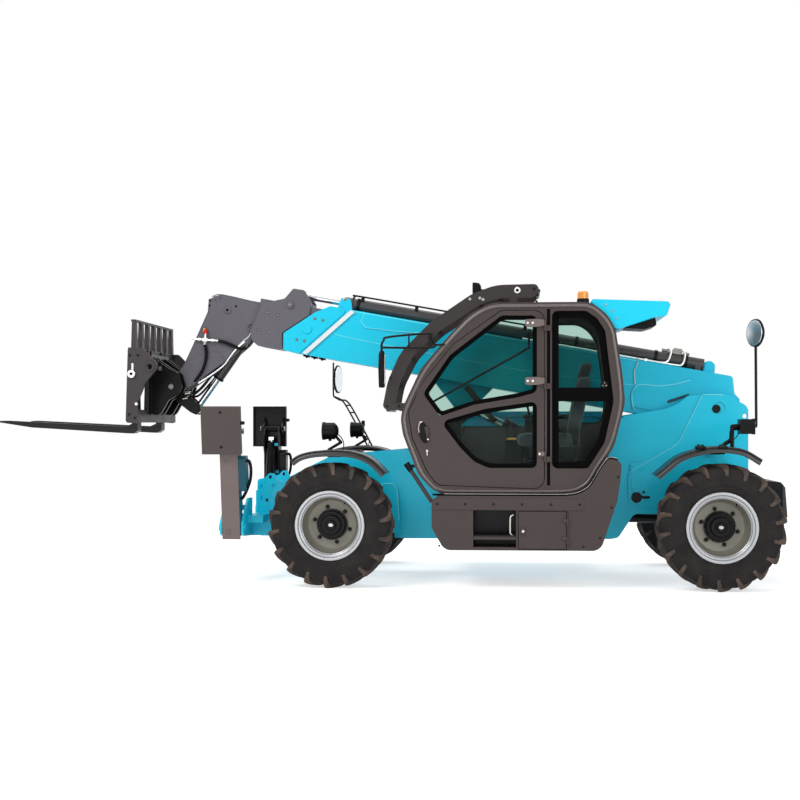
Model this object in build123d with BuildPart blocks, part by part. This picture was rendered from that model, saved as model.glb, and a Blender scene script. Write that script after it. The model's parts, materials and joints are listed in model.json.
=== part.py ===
"""Telehandler: a four-wheel-steer machine with a three-section boom, side cab and stabilisers.

Units are millimetres. +Z is up, the forks point to -X, and the cab is on the -Y side.
Every X passed to the helpers below is measured back from the front axle line, which
stands at FRONT_AXLE_X in the part's own frame. Boom sizes are given along and across the
boom from its pivot and turned into machine coordinates by on_boom().
"""
import os
from math import acos, cos, radians, sin, tan

from build123d import *

# ---------------------------------------------------------------- overall places
FRONT_AXLE_X = -355.0
WHEELBASE = 3100.0
AXLE_Z = 503.6
WHEEL_Y = 985.0
KINGPIN_Y = 850.0

# ---------------------------------------------------------------- wheels
TYRE_RADIUS = 505.0
TREAD_RADIUS = 476.0
RIM_FLANGE_RADIUS = 280.0
BEAD_SEAT_RADIUS = 258.0
RIM_DISC_OFFSET = -50.0
HUB_RADIUS = 122.0
SPINDLE_RADIUS = 60.0
LUGS_PER_SIDE = 18
SEAT_GAP = 0.3
RUNNING_GAP = 0.05

# ---------------------------------------------------------------- chassis
PLATE_INNER_Y = 300.0
PLATE_THICKNESS = 30.0
PLATE_OUTER_Y = PLATE_INNER_Y + PLATE_THICKNESS
PIVOT_X = 3160.0
PIVOT_Z = 1445.0
PIVOT_PIN_RADIUS = 40.0
LIFT_BASE_X = 2500.0
LIFT_BASE_Z = 700.0
LIFT_PIN_RADIUS = 40.0
MOUNT_FRONT_X = -741.0
TAIL_X = WHEELBASE + 324.0
COUNTERWEIGHT_HALF_WIDTH = 620.0
STEER_SWEEP_RADIUS = 602.0

# ---------------------------------------------------------------- boom, along u and across v
BOOM_REST_ANGLE = 10.2
OUTER_HALF_WIDTH = 175.0
OUTER_BOTTOM_V = -151.0
OUTER_TOP_V = 303.0
OUTER_WALL = 12.0
MID_HALF_WIDTH = 145.0
MID_BOTTOM_V = -115.0
MID_TOP_V = 267.0
MID_WALL = 10.0
INNER_HALF_WIDTH = 118.0
INNER_BOTTOM_V = -82.0
INNER_TOP_V = 234.0
INNER_WALL = 10.0
MID_REAR_U = 250.0
INNER_REAR_U = 400.0
INNER_FRONT_U = 4300.0
PAD_GAP = 0.5
EXTENSION_V = 362.0
EXTENSION_BARREL_RADIUS = 55.0
EXTENSION_ROD_RADIUS = 30.0
EXTENSION_BARREL_REAR_U = 130.0
EXTENSION_BARREL_FRONT_U = 3280.0
EXTENSION_LUG_U = 3690.0
LIFT_EYE_U = 2108.0
LIFT_EYE_V = -340.0
LIFT_BARREL_RADIUS = 75.0
LIFT_ROD_RADIUS = 45.0
LIFT_BARREL_LENGTH = 1285.0
LIFT_ROD_LENGTH = 1355.0

# ---------------------------------------------------------------- head, coupler and forks
TILT_PIVOT_X = -1560.0
TILT_PIVOT_Z = 1643.0
TILT_PIN_RADIUS = 32.0
TILT_BASE_X = -830.0
TILT_BASE_Z = 2173.0
TILT_EYE_X = -1345.0
TILT_EYE_Z = 1450.0
TILT_BARREL_RADIUS = 45.0
TILT_ROD_RADIUS = 27.0
TILT_BARREL_LENGTH = 555.0
TILT_ROD_LENGTH = 500.0
HEAD_PLATE_INNER_Y = 98.0
CARRIAGE_HALF_WIDTH = 650.0
CARRIAGE_PLATE = 25.0
FORK_SHAFT_RADIUS = 35.0
FORK_Y = 400.0
FORK_WIDTH = 120.0
FORK_TIP_X = -2986.0

# ---------------------------------------------------------------- stabilisers
LEG_X = -827.0
LEG_WIDTH = 148.0
LEG_PIVOT_Y = 940.0
LEG_PIVOT_Z = 470.0
LEG_LENGTH = 800.0
LEG_WEB_Y = 985.0
LEG_PLATE = 14.0
LEG_PIN_RADIUS = 24.0
LEG_CYLINDER_BASE_Y = 700.0
LEG_CYLINDER_BASE_Z = 620.0
LEG_CYLINDER_UP = 700.0
LEG_CYLINDER_IN = 70.0
LEG_BARREL_RADIUS = 38.0
LEG_ROD_RADIUS = 22.0
LEG_BARREL_LENGTH = 535.0
LEG_ROD_LENGTH = 520.0
LEG_LEAN = {"left": 9.0, "right": 0.0}
PAD_LENGTH = 320.0
PAD_HEIGHT = 385.0
PAD_RIM = -70.0

# ---------------------------------------------------------------- cab
CAB_OUTER_Y = -1050.0
CAB_INNER_Y = -360.0
CAB_WALL = 45.0
GLASS = 6.0
DOOR_GAP = 6.0
DOOR_HINGE_X = 1718.0
DOOR_HINGE_RADIUS = 12.0
ROOF_Z = 2290.0
CAB_BOTTOM_Z = 753.0
STEP_BOX_Y = -1120.0

SIDES = {"left": -1.0, "right": 1.0}
AXLES = {"front": 0.0, "rear": WHEELBASE}
PARTS = "parts"
os.makedirs(PARTS, exist_ok=True)


# ---------------------------------------------------------------- helpers
def shifted(points):
    """Outline points with X measured from the front axle, moved into the part's frame."""
    return [(FRONT_AXLE_X + x, z) for x, z in points]


def soft_wire(points, radius):
    """Lines joined by arcs of a radius, or of less where a side is too short for it."""
    corners = [Vector(*point) for point in points]
    arcs = []
    for before, corner, after in zip(corners[-1:] + corners[:-1], corners, corners[1:] + corners[:1]):
        back = (before - corner).normalized()
        ahead = (after - corner).normalized()
        if (back + ahead).length < 0.02:
            arcs.append((corner, None, corner))
            continue
        half = acos(max(-1.0, min(1.0, back.dot(ahead)))) / 2
        reach = min(radius / tan(half), (before - corner).length * 0.49, (after - corner).length * 0.49)
        bend = reach * tan(half)
        middle = corner + (back + ahead).normalized() * (bend / sin(half) - bend)
        arcs.append((corner + back * reach, middle, corner + ahead * reach))
    for (low, middle, high), (next_low, _, _) in zip(arcs, arcs[1:] + arcs[:1]):
        if middle:
            ThreePointArc(low, middle, high)
        Line(high, next_low)


def slab(outline, y_from, y_to, mode=Mode.ADD, soft=0):
    """A solid with an X-Z outline between two Y values; soft is the radius of its corners."""
    with BuildSketch(Plane.XZ.offset(-y_from)) as face:
        with BuildLine():
            if soft:
                soft_wire(shifted(outline), soft)
            else:
                Polyline(*shifted(outline), close=True)
        make_face()
    extrude(face.sketch, amount=y_from - y_to, mode=mode)


def both_slabs(outline, y_inner, y_outer, mode=Mode.ADD, soft=0):
    """The same outline on both sides of the machine."""
    slab(outline, y_inner, y_outer, mode, soft)
    slab(outline, -y_outer, -y_inner, mode, soft)


def block(x, y, z, mode=Mode.ADD):
    """A box between two values on each axis."""
    middle = (FRONT_AXLE_X + (x[0] + x[1]) / 2, (y[0] + y[1]) / 2, (z[0] + z[1]) / 2)
    with Locations(middle):
        Box(abs(x[1] - x[0]), abs(y[1] - y[0]), abs(z[1] - z[0]), mode=mode)


def bar(start, end, radius, mode=Mode.ADD):
    """A round bar between two points, each (x from the front axle, y, z)."""
    low = Vector(FRONT_AXLE_X + start[0], start[1], start[2])
    high = Vector(FRONT_AXLE_X + end[0], end[1], end[2])
    with BuildSketch(Plane(origin=low, z_dir=high - low)) as face:
        Circle(radius)
    extrude(face.sketch, amount=(high - low).length, mode=mode)


def pin(x, z, y_from, y_to, radius, mode=Mode.ADD):
    """A round bar across the machine."""
    bar((x, y_from, z), (x, y_to, z), radius, mode)


def tube_path(points, radius):
    """Round bars joined end to end, with a ball at each corner."""
    for start, end in zip(points, points[1:]):
        bar(start, end, radius)
    for x, y, z in points[1:-1]:
        with Locations((FRONT_AXLE_X + x, y, z)):
            Sphere(radius)


def on_boom(u, v):
    """Machine X and Z of a boom point u along and v above the pivot."""
    turn = radians(BOOM_REST_ANGLE)
    return PIVOT_X - u * cos(turn) + v * sin(turn), PIVOT_Z + u * sin(turn) + v * cos(turn)


def boomed(points):
    """Boom outline points in machine X and Z."""
    return [on_boom(u, v) for u, v in points]


def boom_box(u, v, y, mode=Mode.ADD):
    """A box square to the boom."""
    slab(boomed([(u[0], v[0]), (u[1], v[0]), (u[1], v[1]), (u[0], v[1])]), y[0], y[1], mode)


def along(start, end, distance):
    """The point a distance from start towards end."""
    span = [e - s for s, e in zip(start, end)]
    length = sum(d * d for d in span) ** 0.5
    return tuple(s + d * distance / length for s, d in zip(start, span))


def eye(centre, axis, half_width, radius, bore, mode=Mode.ADD):
    """A ring for a pin: centre (x, y, z), pin axis 'y' or 'x'."""
    x, y, z = centre
    step = (0, half_width, 0) if axis == "y" else (half_width, 0, 0)
    low = (x - step[0], y - step[1], z - step[2])
    high = (x + step[0], y + step[1], z + step[2])
    bar(low, high, radius, mode)
    if bore:
        bar(low, high, bore, Mode.SUBTRACT)


def save(name, builder):
    """Label a finished piece and write it."""
    builder.part.label = name
    export_step(builder.part, os.path.join(PARTS, name + ".step"))


# ---------------------------------------------------------------- chassis
CHASSIS_OUTLINE = [
    (-520, 380), (-520, 830), (-330, 930), (-60, 1062), (120, 1062), (514, 1099),
    (900, 1010), (1950, 1010), (2402, 1389), (2743, 1447), (2856, 1497), (2932, 1561),
    (PIVOT_X + 52, 1560), (TAIL_X, 1433), (TAIL_X, 855), (TAIL_X, 600), (2700, 560), (2480, 560),
    (2343, 351), (500, 340), (400, 420),
]
# A thicker plate over the pivot and the rear axle, and one behind each front wheel.
REAR_DOUBLER = [
    (2430, 640), (2428, 905), (2836, 1150), (2877, 1217), (PIVOT_X - 117, 1553), (PIVOT_X - 51, 1566),
    (PIVOT_X + 97, 1561), (TAIL_X, 1462), (TAIL_X, 640), (WHEELBASE - 200, 575),
]
FRONT_DOUBLER = [(330, 640), (342, 803), (442, 812), (478, 740), (495, 500), (499, 350), (400, 420)]
DOUBLER_OUTER_Y = PLATE_OUTER_Y + 14.0
STEP_BOX_INNER_Y = -DOUBLER_OUTER_Y - 2.0
with BuildPart() as chassis_frame:
    both_slabs(CHASSIS_OUTLINE, PLATE_INNER_Y, PLATE_OUTER_Y, soft=60)
    both_slabs(REAR_DOUBLER, PLATE_OUTER_Y - 1, DOUBLER_OUTER_Y, soft=70)
    both_slabs(FRONT_DOUBLER, PLATE_OUTER_Y - 1, DOUBLER_OUTER_Y, soft=40)
    for spacer_x in (980, 1960):
        block((spacer_x, spacer_x + 90), (STEP_BOX_INNER_Y + SEAT_GAP, -PLATE_OUTER_Y + 1), (560, 680))
    for side in SIDES.values():
        for axle_x in AXLES.values():
            pin(
                axle_x, AXLE_Z, side * (PLATE_INNER_Y - 1), side * (DOUBLER_OUTER_Y + 1), 112,
                Mode.SUBTRACT,
            )
    block((450, 2300), (-PLATE_INNER_Y, PLATE_INNER_Y), (344, 362))
    block((-520, -500), (-PLATE_INNER_Y, PLATE_INNER_Y), (380, 830))
    block((TAIL_X - 20, TAIL_X), (-PLATE_INNER_Y, PLATE_INNER_Y), (620, 1040))
    block((-500, -380), (-PLATE_INNER_Y, PLATE_INNER_Y), (640, 665))
    block((400, 500), (-PLATE_INNER_Y, PLATE_INNER_Y), (640, 665))
    block((2330, 2390), (-PLATE_INNER_Y, PLATE_INNER_Y), (430, 460))
    pin(PIVOT_X, PIVOT_Z, -DOUBLER_OUTER_Y, DOUBLER_OUTER_Y, PIVOT_PIN_RADIUS)
    pin(LIFT_BASE_X, LIFT_BASE_Z, -PLATE_OUTER_Y, PLATE_OUTER_Y, LIFT_PIN_RADIUS)
    for side in SIDES.values():
        pin(
            PIVOT_X + 23, PIVOT_Z + 4, side * (DOUBLER_OUTER_Y - 8), side * (DOUBLER_OUTER_Y + 1), 52,
            Mode.SUBTRACT,
        )
        pin(TAIL_X - 27, 1385, side * (PLATE_INNER_Y - 1), side * (DOUBLER_OUTER_Y + 1), 20, Mode.SUBTRACT)
save("chassis_frame", chassis_frame)

# The counterweight hangs on the tail, hollowed at its ends so that the steered rear tyres clear it.
COUNTERWEIGHT_OUTLINE = [
    (TAIL_X, 856), (TAIL_X + 221, 842), (TAIL_X + 252, 800), (TAIL_X + 270, 560), (TAIL_X + 230, 535),
    (TAIL_X, 535),
]
with BuildPart() as counterweight:
    slab(COUNTERWEIGHT_OUTLINE, -COUNTERWEIGHT_HALF_WIDTH, COUNTERWEIGHT_HALF_WIDTH)
    for side in SIDES.values():
        wheel_hollow = (WHEELBASE, side * KINGPIN_Y)
        bar((*wheel_hollow, 500), (*wheel_hollow, 900), STEER_SWEEP_RADIUS, Mode.SUBTRACT)
save("counterweight", counterweight)

# The front beam carries the two stabiliser legs in forks at its ends.
BEAM_OUTLINE = [
    (-741, 380), (-730, 842), (-665, 855), (-627, 896), (-585, 890), (-563, 839), (-500, 815),
    (-400, 800),
    (-395, 740), (-520, 700), (-520, 380), (-560, 357), (-700, 357),
]
with BuildPart() as stabiliser_mount:
    both_slabs(BEAM_OUTLINE, PLATE_OUTER_Y, PLATE_OUTER_Y + 25, soft=22)
    for hole_x, hole_z in ((-620, 862), (-648, 663), (-675, 405)):
        both_slabs(
            [
                (hole_x - 12, hole_z - 14), (hole_x - 12, hole_z + 14), (hole_x + 12, hole_z + 14),
                (hole_x + 12, hole_z - 14),
            ],
            PLATE_OUTER_Y - 1, PLATE_OUTER_Y + 26, Mode.SUBTRACT,
        )
    block((MOUNT_FRONT_X, -520), (-600, 600), (380, 560))
    block((MOUNT_FRONT_X, -520), (-355, 355), (560, 580))
    for side in SIDES.values():
        FORK_EAR = [
            (side * 590, 380), (side * 590, 700), (side * 760, 700), (side * 985, 520), (side * 985, 420),
            (side * 930, 400),
        ]
        for ear_x in (LEG_X + LEG_WIDTH / 2 + 6, LEG_X - LEG_WIDTH / 2 - 6 - 18):
            with BuildSketch(Plane.YZ.offset(FRONT_AXLE_X + ear_x)) as ear:
                with BuildLine():
                    Polyline(*FORK_EAR, close=True)
                make_face()
            extrude(ear.sketch, amount=18)
        rear_face = LEG_X + LEG_WIDTH / 2 + 6
        front_face = LEG_X - LEG_WIDTH / 2 - 6
        block((front_face - 18, MOUNT_FRONT_X + 1), (side * 560, side * 608), (380, 560))
        bar(
            (rear_face, side * LEG_PIVOT_Y, LEG_PIVOT_Z),
            (rear_face - 6 - LEG_PLATE, side * LEG_PIVOT_Y, LEG_PIVOT_Z), LEG_PIN_RADIUS,
        )
        bar(
            (front_face, side * LEG_PIVOT_Y, LEG_PIVOT_Z),
            (front_face + 6 + LEG_PLATE, side * LEG_PIVOT_Y, LEG_PIVOT_Z), LEG_PIN_RADIUS,
        )
        bar(
            (rear_face, side * LEG_CYLINDER_BASE_Y, LEG_CYLINDER_BASE_Z),
            (front_face, side * LEG_CYLINDER_BASE_Y, LEG_CYLINDER_BASE_Z), LEG_PIN_RADIUS,
        )
        block((-735, -600), (side * 590, side * 800), (500, 560))
save("stabiliser_mount", stabiliser_mount)


# ---------------------------------------------------------------- stabiliser legs
def leg_point(side, lean, inward, up):
    """Y and Z of a leg point, measured from the pivot along the leg and inward from it."""
    turn = radians(lean)
    out = -inward
    return (
        side * (LEG_PIVOT_Y + out * cos(turn) + up * sin(turn)),
        LEG_PIVOT_Z - out * sin(turn) + up * cos(turn),
    )


def leg_slab(side, lean, outline, x_from, x_to, mode=Mode.ADD):
    """A solid with a leg outline (inward, up) between two X values."""
    with BuildSketch(Plane.YZ.offset(FRONT_AXLE_X + x_from)) as face:
        with BuildLine():
            Polyline(*[leg_point(side, lean, inward, up) for inward, up in outline], close=True)
        make_face()
    extrude(face.sketch, amount=x_to - x_from, mode=mode)


LEG_FRONT = LEG_X - LEG_WIDTH / 2
LEG_REAR = LEG_X + LEG_WIDTH / 2
LEG_SIDE_OUTLINE = [
    (-45, -60), (45, -60), (60, 0), (60, 560), (105, 640), (105, 745), (40, LEG_LENGTH + 20),
    (-45, LEG_LENGTH + 20),
]
for name, side in SIDES.items():
    lean = LEG_LEAN[name]
    pad_y, pad_z = leg_point(side, lean, 0, LEG_LENGTH)
    with BuildPart() as leg:
        leg_slab(side, lean, LEG_SIDE_OUTLINE, LEG_FRONT, LEG_FRONT + LEG_PLATE)
        leg_slab(side, lean, LEG_SIDE_OUTLINE, LEG_REAR - LEG_PLATE, LEG_REAR)
        leg_slab(
            side, lean, [(-60, -85), (-45, -85), (-45, LEG_LENGTH + 20),
            (-60, LEG_LENGTH + 20)], LEG_FRONT,
            LEG_REAR,
        )
        for face_x in (LEG_FRONT - 1, LEG_REAR - LEG_PLATE - 1):
            low = (face_x, side * LEG_PIVOT_Y, LEG_PIVOT_Z)
            high = (face_x + LEG_PLATE + 2, side * LEG_PIVOT_Y, LEG_PIVOT_Z)
            bar(low, high, LEG_PIN_RADIUS + RUNNING_GAP, Mode.SUBTRACT)
        bar((LEG_FRONT, pad_y, pad_z), (LEG_REAR, pad_y, pad_z), 28)
        bar((LEG_FRONT, pad_y, pad_z), (LEG_REAR, pad_y, pad_z), 20 + RUNNING_GAP, Mode.SUBTRACT)
    save("stabiliser_leg_" + name, leg)

    with BuildPart() as pad:
        # A tray: its outer face, then rims turned in at the two sides, the top and beside the leg.
        pad_low = LEG_LENGTH - 170
        pad_high = pad_low + PAD_HEIGHT
        pad_front = LEG_X - 205
        pad_rear = pad_front + PAD_LENGTH
        TRAY = [
            (-120, -106, pad_low, pad_high, pad_front, pad_rear),
            (-120, -96, pad_low + 60, pad_high - 60, LEG_FRONT - 30, LEG_REAR + 30),
            (-120, PAD_RIM, pad_low, pad_high, pad_front, pad_front + 12),
            (-120, PAD_RIM, pad_low, pad_high, pad_rear - 12, pad_rear),
            (-120, PAD_RIM, pad_high - 12, pad_high, pad_front, pad_rear),
            (-120, PAD_RIM, pad_low, pad_low + 12, pad_front, LEG_FRONT - 8),
            (-120, PAD_RIM, pad_low, pad_low + 12, LEG_REAR + 8, pad_rear),
        ]
        for outer, inner, low, high, x_from, x_to in TRAY:
            leg_slab(side, lean, [(outer, low), (inner, low), (inner, high), (outer, high)], x_from, x_to)
        for ear_x in (LEG_FRONT - 6 - 16, LEG_REAR + 6):
            ear_outline = [
                (-97, LEG_LENGTH - 90), (-20, LEG_LENGTH - 40), (34, LEG_LENGTH - 20),
                (34, LEG_LENGTH + 20), (-20, LEG_LENGTH + 60), (-97, LEG_LENGTH + 110),
            ]
            leg_slab(side, lean, ear_outline, ear_x, ear_x + 16)
        bar((LEG_FRONT - 30, pad_y, pad_z), (LEG_REAR + 30, pad_y, pad_z), 20)
    save("stabiliser_pad_" + name, pad)

    base = (LEG_X, side * LEG_CYLINDER_BASE_Y, LEG_CYLINDER_BASE_Z)
    tip_y, tip_z = leg_point(side, lean, LEG_CYLINDER_IN, LEG_CYLINDER_UP)
    tip = (LEG_X, tip_y, tip_z)
    with BuildPart() as barrel:
        bar(along(base, tip, 30), along(base, tip, LEG_BARREL_LENGTH), LEG_BARREL_RADIUS)
        bar(
            along(base, tip, 52), along(base, tip, LEG_BARREL_LENGTH + 1), LEG_ROD_RADIUS + RUNNING_GAP,
            Mode.SUBTRACT,
        )
        eye(base, "x", 28, 44, LEG_PIN_RADIUS + RUNNING_GAP)
    save("stabiliser_barrel_" + name, barrel)

    with BuildPart() as rod:
        bar(tip, along(tip, base, LEG_ROD_LENGTH), LEG_ROD_RADIUS)
        eye(tip, "x", 24, 26, 15)
    save("stabiliser_rod_" + name, rod)

# ---------------------------------------------------------------- axles, knuckles and wheels
# A tyre's flat-sided rings: distance outboard of the wheel's middle plane, corner radius.
TYRE_SIDES = 36
TYRE_STEPS = [(-165, 398), (-142, 466), (-60, TREAD_RADIUS), (60, TREAD_RADIUS), (142, 466), (165, 398)]


def tyre_ring(axle_x, side, step, next_step, mode=Mode.ADD):
    """A ring of a tyre, lofted between two many-sided outlines."""
    faces = []
    for across, radius in (step, next_step):
        place = (FRONT_AXLE_X + axle_x, side * (WHEEL_Y + across), AXLE_Z)
        with BuildSketch(Plane(origin=place, x_dir=(1, 0, 0), z_dir=(0, -1, 0))) as ring:
            RegularPolygon(radius, TYRE_SIDES)
        faces.append(ring.sketch)
    loft(faces, mode=mode)


# Axle housing: distance from the middle, radius.
HOUSING = [
    (-330, 0), (-330, 92), (-190, 110), (-130, 165), (-60, 180), (60, 180), (130, 165), (190, 110),
    (330, 92), (330, 0),
]
for axle_name, axle_x in AXLES.items():
    with BuildPart() as axle:
        pin(axle_x, AXLE_Z, -KINGPIN_Y + 40, KINGPIN_Y - 40, 72)
        with BuildSketch(Plane.YZ.offset(FRONT_AXLE_X + axle_x)) as housing:
            with BuildLine():
                Polyline(*[(y, AXLE_Z + radius) for y, radius in HOUSING], close=True)
            make_face()
        revolve(housing.sketch, Axis((FRONT_AXLE_X + axle_x, 0, AXLE_Z), (0, 1, 0)), 360)
        for side in SIDES.values():
            end = (axle_x, side * KINGPIN_Y)
            bar((*end, AXLE_Z - 85), (*end, AXLE_Z + 85), 62)
            bar((*end, AXLE_Z - 90), (*end, AXLE_Z - 35), 26 + RUNNING_GAP, Mode.SUBTRACT)
            bar((*end, AXLE_Z + 35), (*end, AXLE_Z + 90), 26 + RUNNING_GAP, Mode.SUBTRACT)
    save(axle_name + "_axle", axle)

    for name, side in SIDES.items():
        corner = axle_name + "_" + name
        hub_y = side * (WHEEL_Y + RIM_DISC_OFFSET)
        with BuildPart() as knuckle:
            for up in (-1, 1):
                ear_z = (AXLE_Z + up * 90, AXLE_Z + up * 112)
                with Locations((FRONT_AXLE_X + axle_x, side * KINGPIN_Y, sum(ear_z) / 2)):
                    Cylinder(60, 22)
                block((axle_x - 60, axle_x + 60), (side * KINGPIN_Y, side * 930), ear_z)
                bar(
                    (axle_x, side * KINGPIN_Y, AXLE_Z + up * 90),
                    (axle_x, side * KINGPIN_Y, AXLE_Z + up * 45), 26,
                )
            block((axle_x - 60, axle_x + 60), (side * 918, side * 930), (AXLE_Z - 112, AXLE_Z + 112))
            pin(axle_x, AXLE_Z, side * 929, side * (WHEEL_Y + 10), SPINDLE_RADIUS)
        save("knuckle_" + corner, knuckle)

        # Rim section: distance outboard of the wheel's middle plane, radius.
        RIM_SECTION = [
            (150, RIM_FLANGE_RADIUS), (136.2, RIM_FLANGE_RADIUS), (130.3, BEAD_SEAT_RADIUS - SEAT_GAP),
            (-130.3, BEAD_SEAT_RADIUS - SEAT_GAP), (-136.2, RIM_FLANGE_RADIUS), (-150, RIM_FLANGE_RADIUS),
            (-138, 246), (-50, 240), (-50, SPINDLE_RADIUS + RUNNING_GAP),
            (24, SPINDLE_RADIUS + RUNNING_GAP),
            (24, 0), (60, 0), (60, 46), (30, HUB_RADIUS), (-28, HUB_RADIUS + 6), (-28, 165),
            (40, 230), (138, 242),
        ]
        with BuildPart() as rim:
            with BuildSketch(Plane.YZ.offset(FRONT_AXLE_X + axle_x)) as section:
                with BuildLine():
                    Polyline(*[(side * (WHEEL_Y + a), AXLE_Z + r) for a, r in RIM_SECTION], close=True)
                make_face()
            revolve(section.sketch, Axis((FRONT_AXLE_X + axle_x, 0, AXLE_Z), (0, 1, 0)), 360)
        save("rim_" + corner, rim)

        with BuildPart() as tyre:
            for step, next_step in zip(TYRE_STEPS, TYRE_STEPS[1:]):
                tyre_ring(axle_x, side, step, next_step)
            pin(
                axle_x, AXLE_Z, side * (WHEEL_Y - 200), side * (WHEEL_Y + 200), BEAD_SEAT_RADIUS,
                Mode.SUBTRACT,
            )
            for face in (-1, 1):
                tyre_ring(axle_x, side, (face * 129.9, 265), (face * 166, 398), Mode.SUBTRACT)
            # Lug outline: along the tread, distance outboard of the middle plane.
            LUG = [(-62, 8), (-18, 8), (58, 160), (8, 160)]
            for half in (-1, 1):
                for count in range(LUGS_PER_SIDE):
                    turn = 360 / LUGS_PER_SIDE * (count + (0.5 if half > 0 else 0.0))
                    spin = radians(turn)
                    foot = Plane(
                        origin=(
                            FRONT_AXLE_X + axle_x + 440 * sin(spin), side * WHEEL_Y,
                            AXLE_Z + 440 * cos(spin),
                        ),
                        x_dir=(cos(spin), 0, -sin(spin)),
                        z_dir=(sin(spin), 0, cos(spin)),
                    )
                    with BuildSketch(foot) as lug:
                        with BuildLine():
                            Polyline(
                                *[(along_tread, half * across) for along_tread, across in LUG], close=True
                            )
                        make_face()
                    extrude(lug.sketch, amount=(TYRE_RADIUS ** 2 - 62 ** 2) ** 0.5 - 440)
        save("tyre_" + corner, tyre)

# ---------------------------------------------------------------- engine and driveline
POD_X = (900.0, 2250.0)
POD_Y = (PLATE_OUTER_Y, 1120.0)
POD_Z = (420.0, 1430.0)
POD_SPLIT_Z = 980.0
POD_SKIN = 20.0
BONNET_HINGE_Y = 340.0
BONNET_HINGE_Z = 1392.0
BONNET_HINGE_XS = (1000.0, 1575.0, 2150.0)
BONNET_PIN_RADIUS = 6.0
with BuildPart() as engine:
    block((1150, 1850), (430, 950), (POD_Z[0] + POD_SKIN, 960))
save("engine", engine)

with BuildPart() as engine_bay:
    block(POD_X, POD_Y, (POD_Z[0], POD_SPLIT_Z))
    block(
        (POD_X[0] + POD_SKIN, POD_X[1] - POD_SKIN), (POD_Y[0] + POD_SKIN, POD_Y[1] - POD_SKIN),
        (POD_Z[0] + POD_SKIN, POD_SPLIT_Z + 1), Mode.SUBTRACT,
    )
    block(
        (POD_X[0] + POD_SKIN + 8, POD_X[1] - POD_SKIN - 8), (POD_Y[0], POD_Y[0] + POD_SKIN),
        (POD_SPLIT_Z, POD_Z[1] - 60),
    )
    for hinge_x in BONNET_HINGE_XS:
        block(
            (hinge_x - 12, hinge_x + 12), (BONNET_HINGE_Y - 7, BONNET_HINGE_Y + 7),
            (POD_Z[1] - 61, BONNET_HINGE_Z),
        )
        hinge_line = (BONNET_HINGE_Y, BONNET_HINGE_Z)
        bar((hinge_x - 40, *hinge_line), (hinge_x + 40, *hinge_line), BONNET_PIN_RADIUS)
save("engine_bay", engine_bay)

BONNET_OUTLINE = [
    (POD_Y[0], POD_Z[1] - 54), (POD_Y[0], POD_Z[1]), (POD_Y[1] - 160, POD_Z[1] - 20),
    (POD_Y[1], POD_Z[1] - 190),
    (POD_Y[1], POD_SPLIT_Z + DOOR_GAP), (POD_Y[0] + POD_SKIN + 6, POD_SPLIT_Z + DOOR_GAP),
    (POD_Y[0] + POD_SKIN + 6, POD_Z[1] - 54),
]
BONNET_HOLLOW = [
    (POD_Y[0] - 1, POD_Z[1] - POD_SKIN - 34), (POD_Y[0] + 40, POD_Z[1] - POD_SKIN - 4),
    (POD_Y[1] - 168, POD_Z[1] - POD_SKIN - 20), (POD_Y[1] - POD_SKIN, POD_Z[1] - 198),
    (POD_Y[1] - POD_SKIN, POD_SPLIT_Z), (POD_Y[0] - 1, POD_SPLIT_Z),
]
with BuildPart() as bonnet:
    with BuildSketch(Plane.YZ.offset(FRONT_AXLE_X + POD_X[0])) as hood:
        with BuildLine():
            Polyline(*BONNET_OUTLINE, close=True)
        make_face()
    extrude(hood.sketch, amount=POD_X[1] - POD_X[0])
    with BuildSketch(Plane.YZ.offset(FRONT_AXLE_X + POD_X[0] + POD_SKIN)) as hollow:
        with BuildLine():
            Polyline(*BONNET_HOLLOW, close=True)
        make_face()
    extrude(hollow.sketch, amount=POD_X[1] - POD_X[0] - 2 * POD_SKIN, mode=Mode.SUBTRACT)
    for hinge_x in BONNET_HINGE_XS:
        bar((hinge_x - 38, *hinge_line), (hinge_x + 38, *hinge_line), BONNET_PIN_RADIUS + 6)
        block(
            (hinge_x - 14, hinge_x + 14), (POD_Y[0] - 2, BONNET_HINGE_Y + 14),
            (POD_Z[1] - 60, BONNET_HINGE_Z + 14), Mode.SUBTRACT,
        )
        bar(
            (hinge_x - 42, *hinge_line), (hinge_x + 42, *hinge_line), BONNET_PIN_RADIUS + RUNNING_GAP,
            Mode.SUBTRACT,
        )
save("bonnet", bonnet)

with BuildPart() as driveline:
    block((1420, 1760), (-160, 160), (362, 620))
    bar((180, 0, AXLE_Z), (1421, 0, AXLE_Z), 38)
    bar((1759, 0, AXLE_Z), (WHEELBASE - 180, 0, AXLE_Z), 38)
save("driveline", driveline)

# ---------------------------------------------------------------- boom
OUTER_OUTLINE = [
    (-110, OUTER_TOP_V), (3389, OUTER_TOP_V), (3509, 228), (3754, 0), (3728, OUTER_BOTTOM_V + 5),
    (3600, OUTER_BOTTOM_V), (0, OUTER_BOTTOM_V), (-120, -110), (-205, -20), (-205, 120), (-150, 160),
]
LIFT_LUG_OUTLINE = [
    (LIFT_EYE_U - 230, OUTER_BOTTOM_V + 2), (LIFT_EYE_U - 75, LIFT_EYE_V - 30),
    (LIFT_EYE_U - 35, LIFT_EYE_V - 70),
    (LIFT_EYE_U + 35, LIFT_EYE_V - 70), (LIFT_EYE_U + 75, LIFT_EYE_V - 30),
    (LIFT_EYE_U + 320, OUTER_BOTTOM_V + 2),
]
MOUTH_PLATE = [
    (3230, 300), (3389, OUTER_TOP_V), (3509, 228), (3754, 0), (3728, OUTER_BOTTOM_V + 5),
    (3590, OUTER_BOTTOM_V),
]
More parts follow.
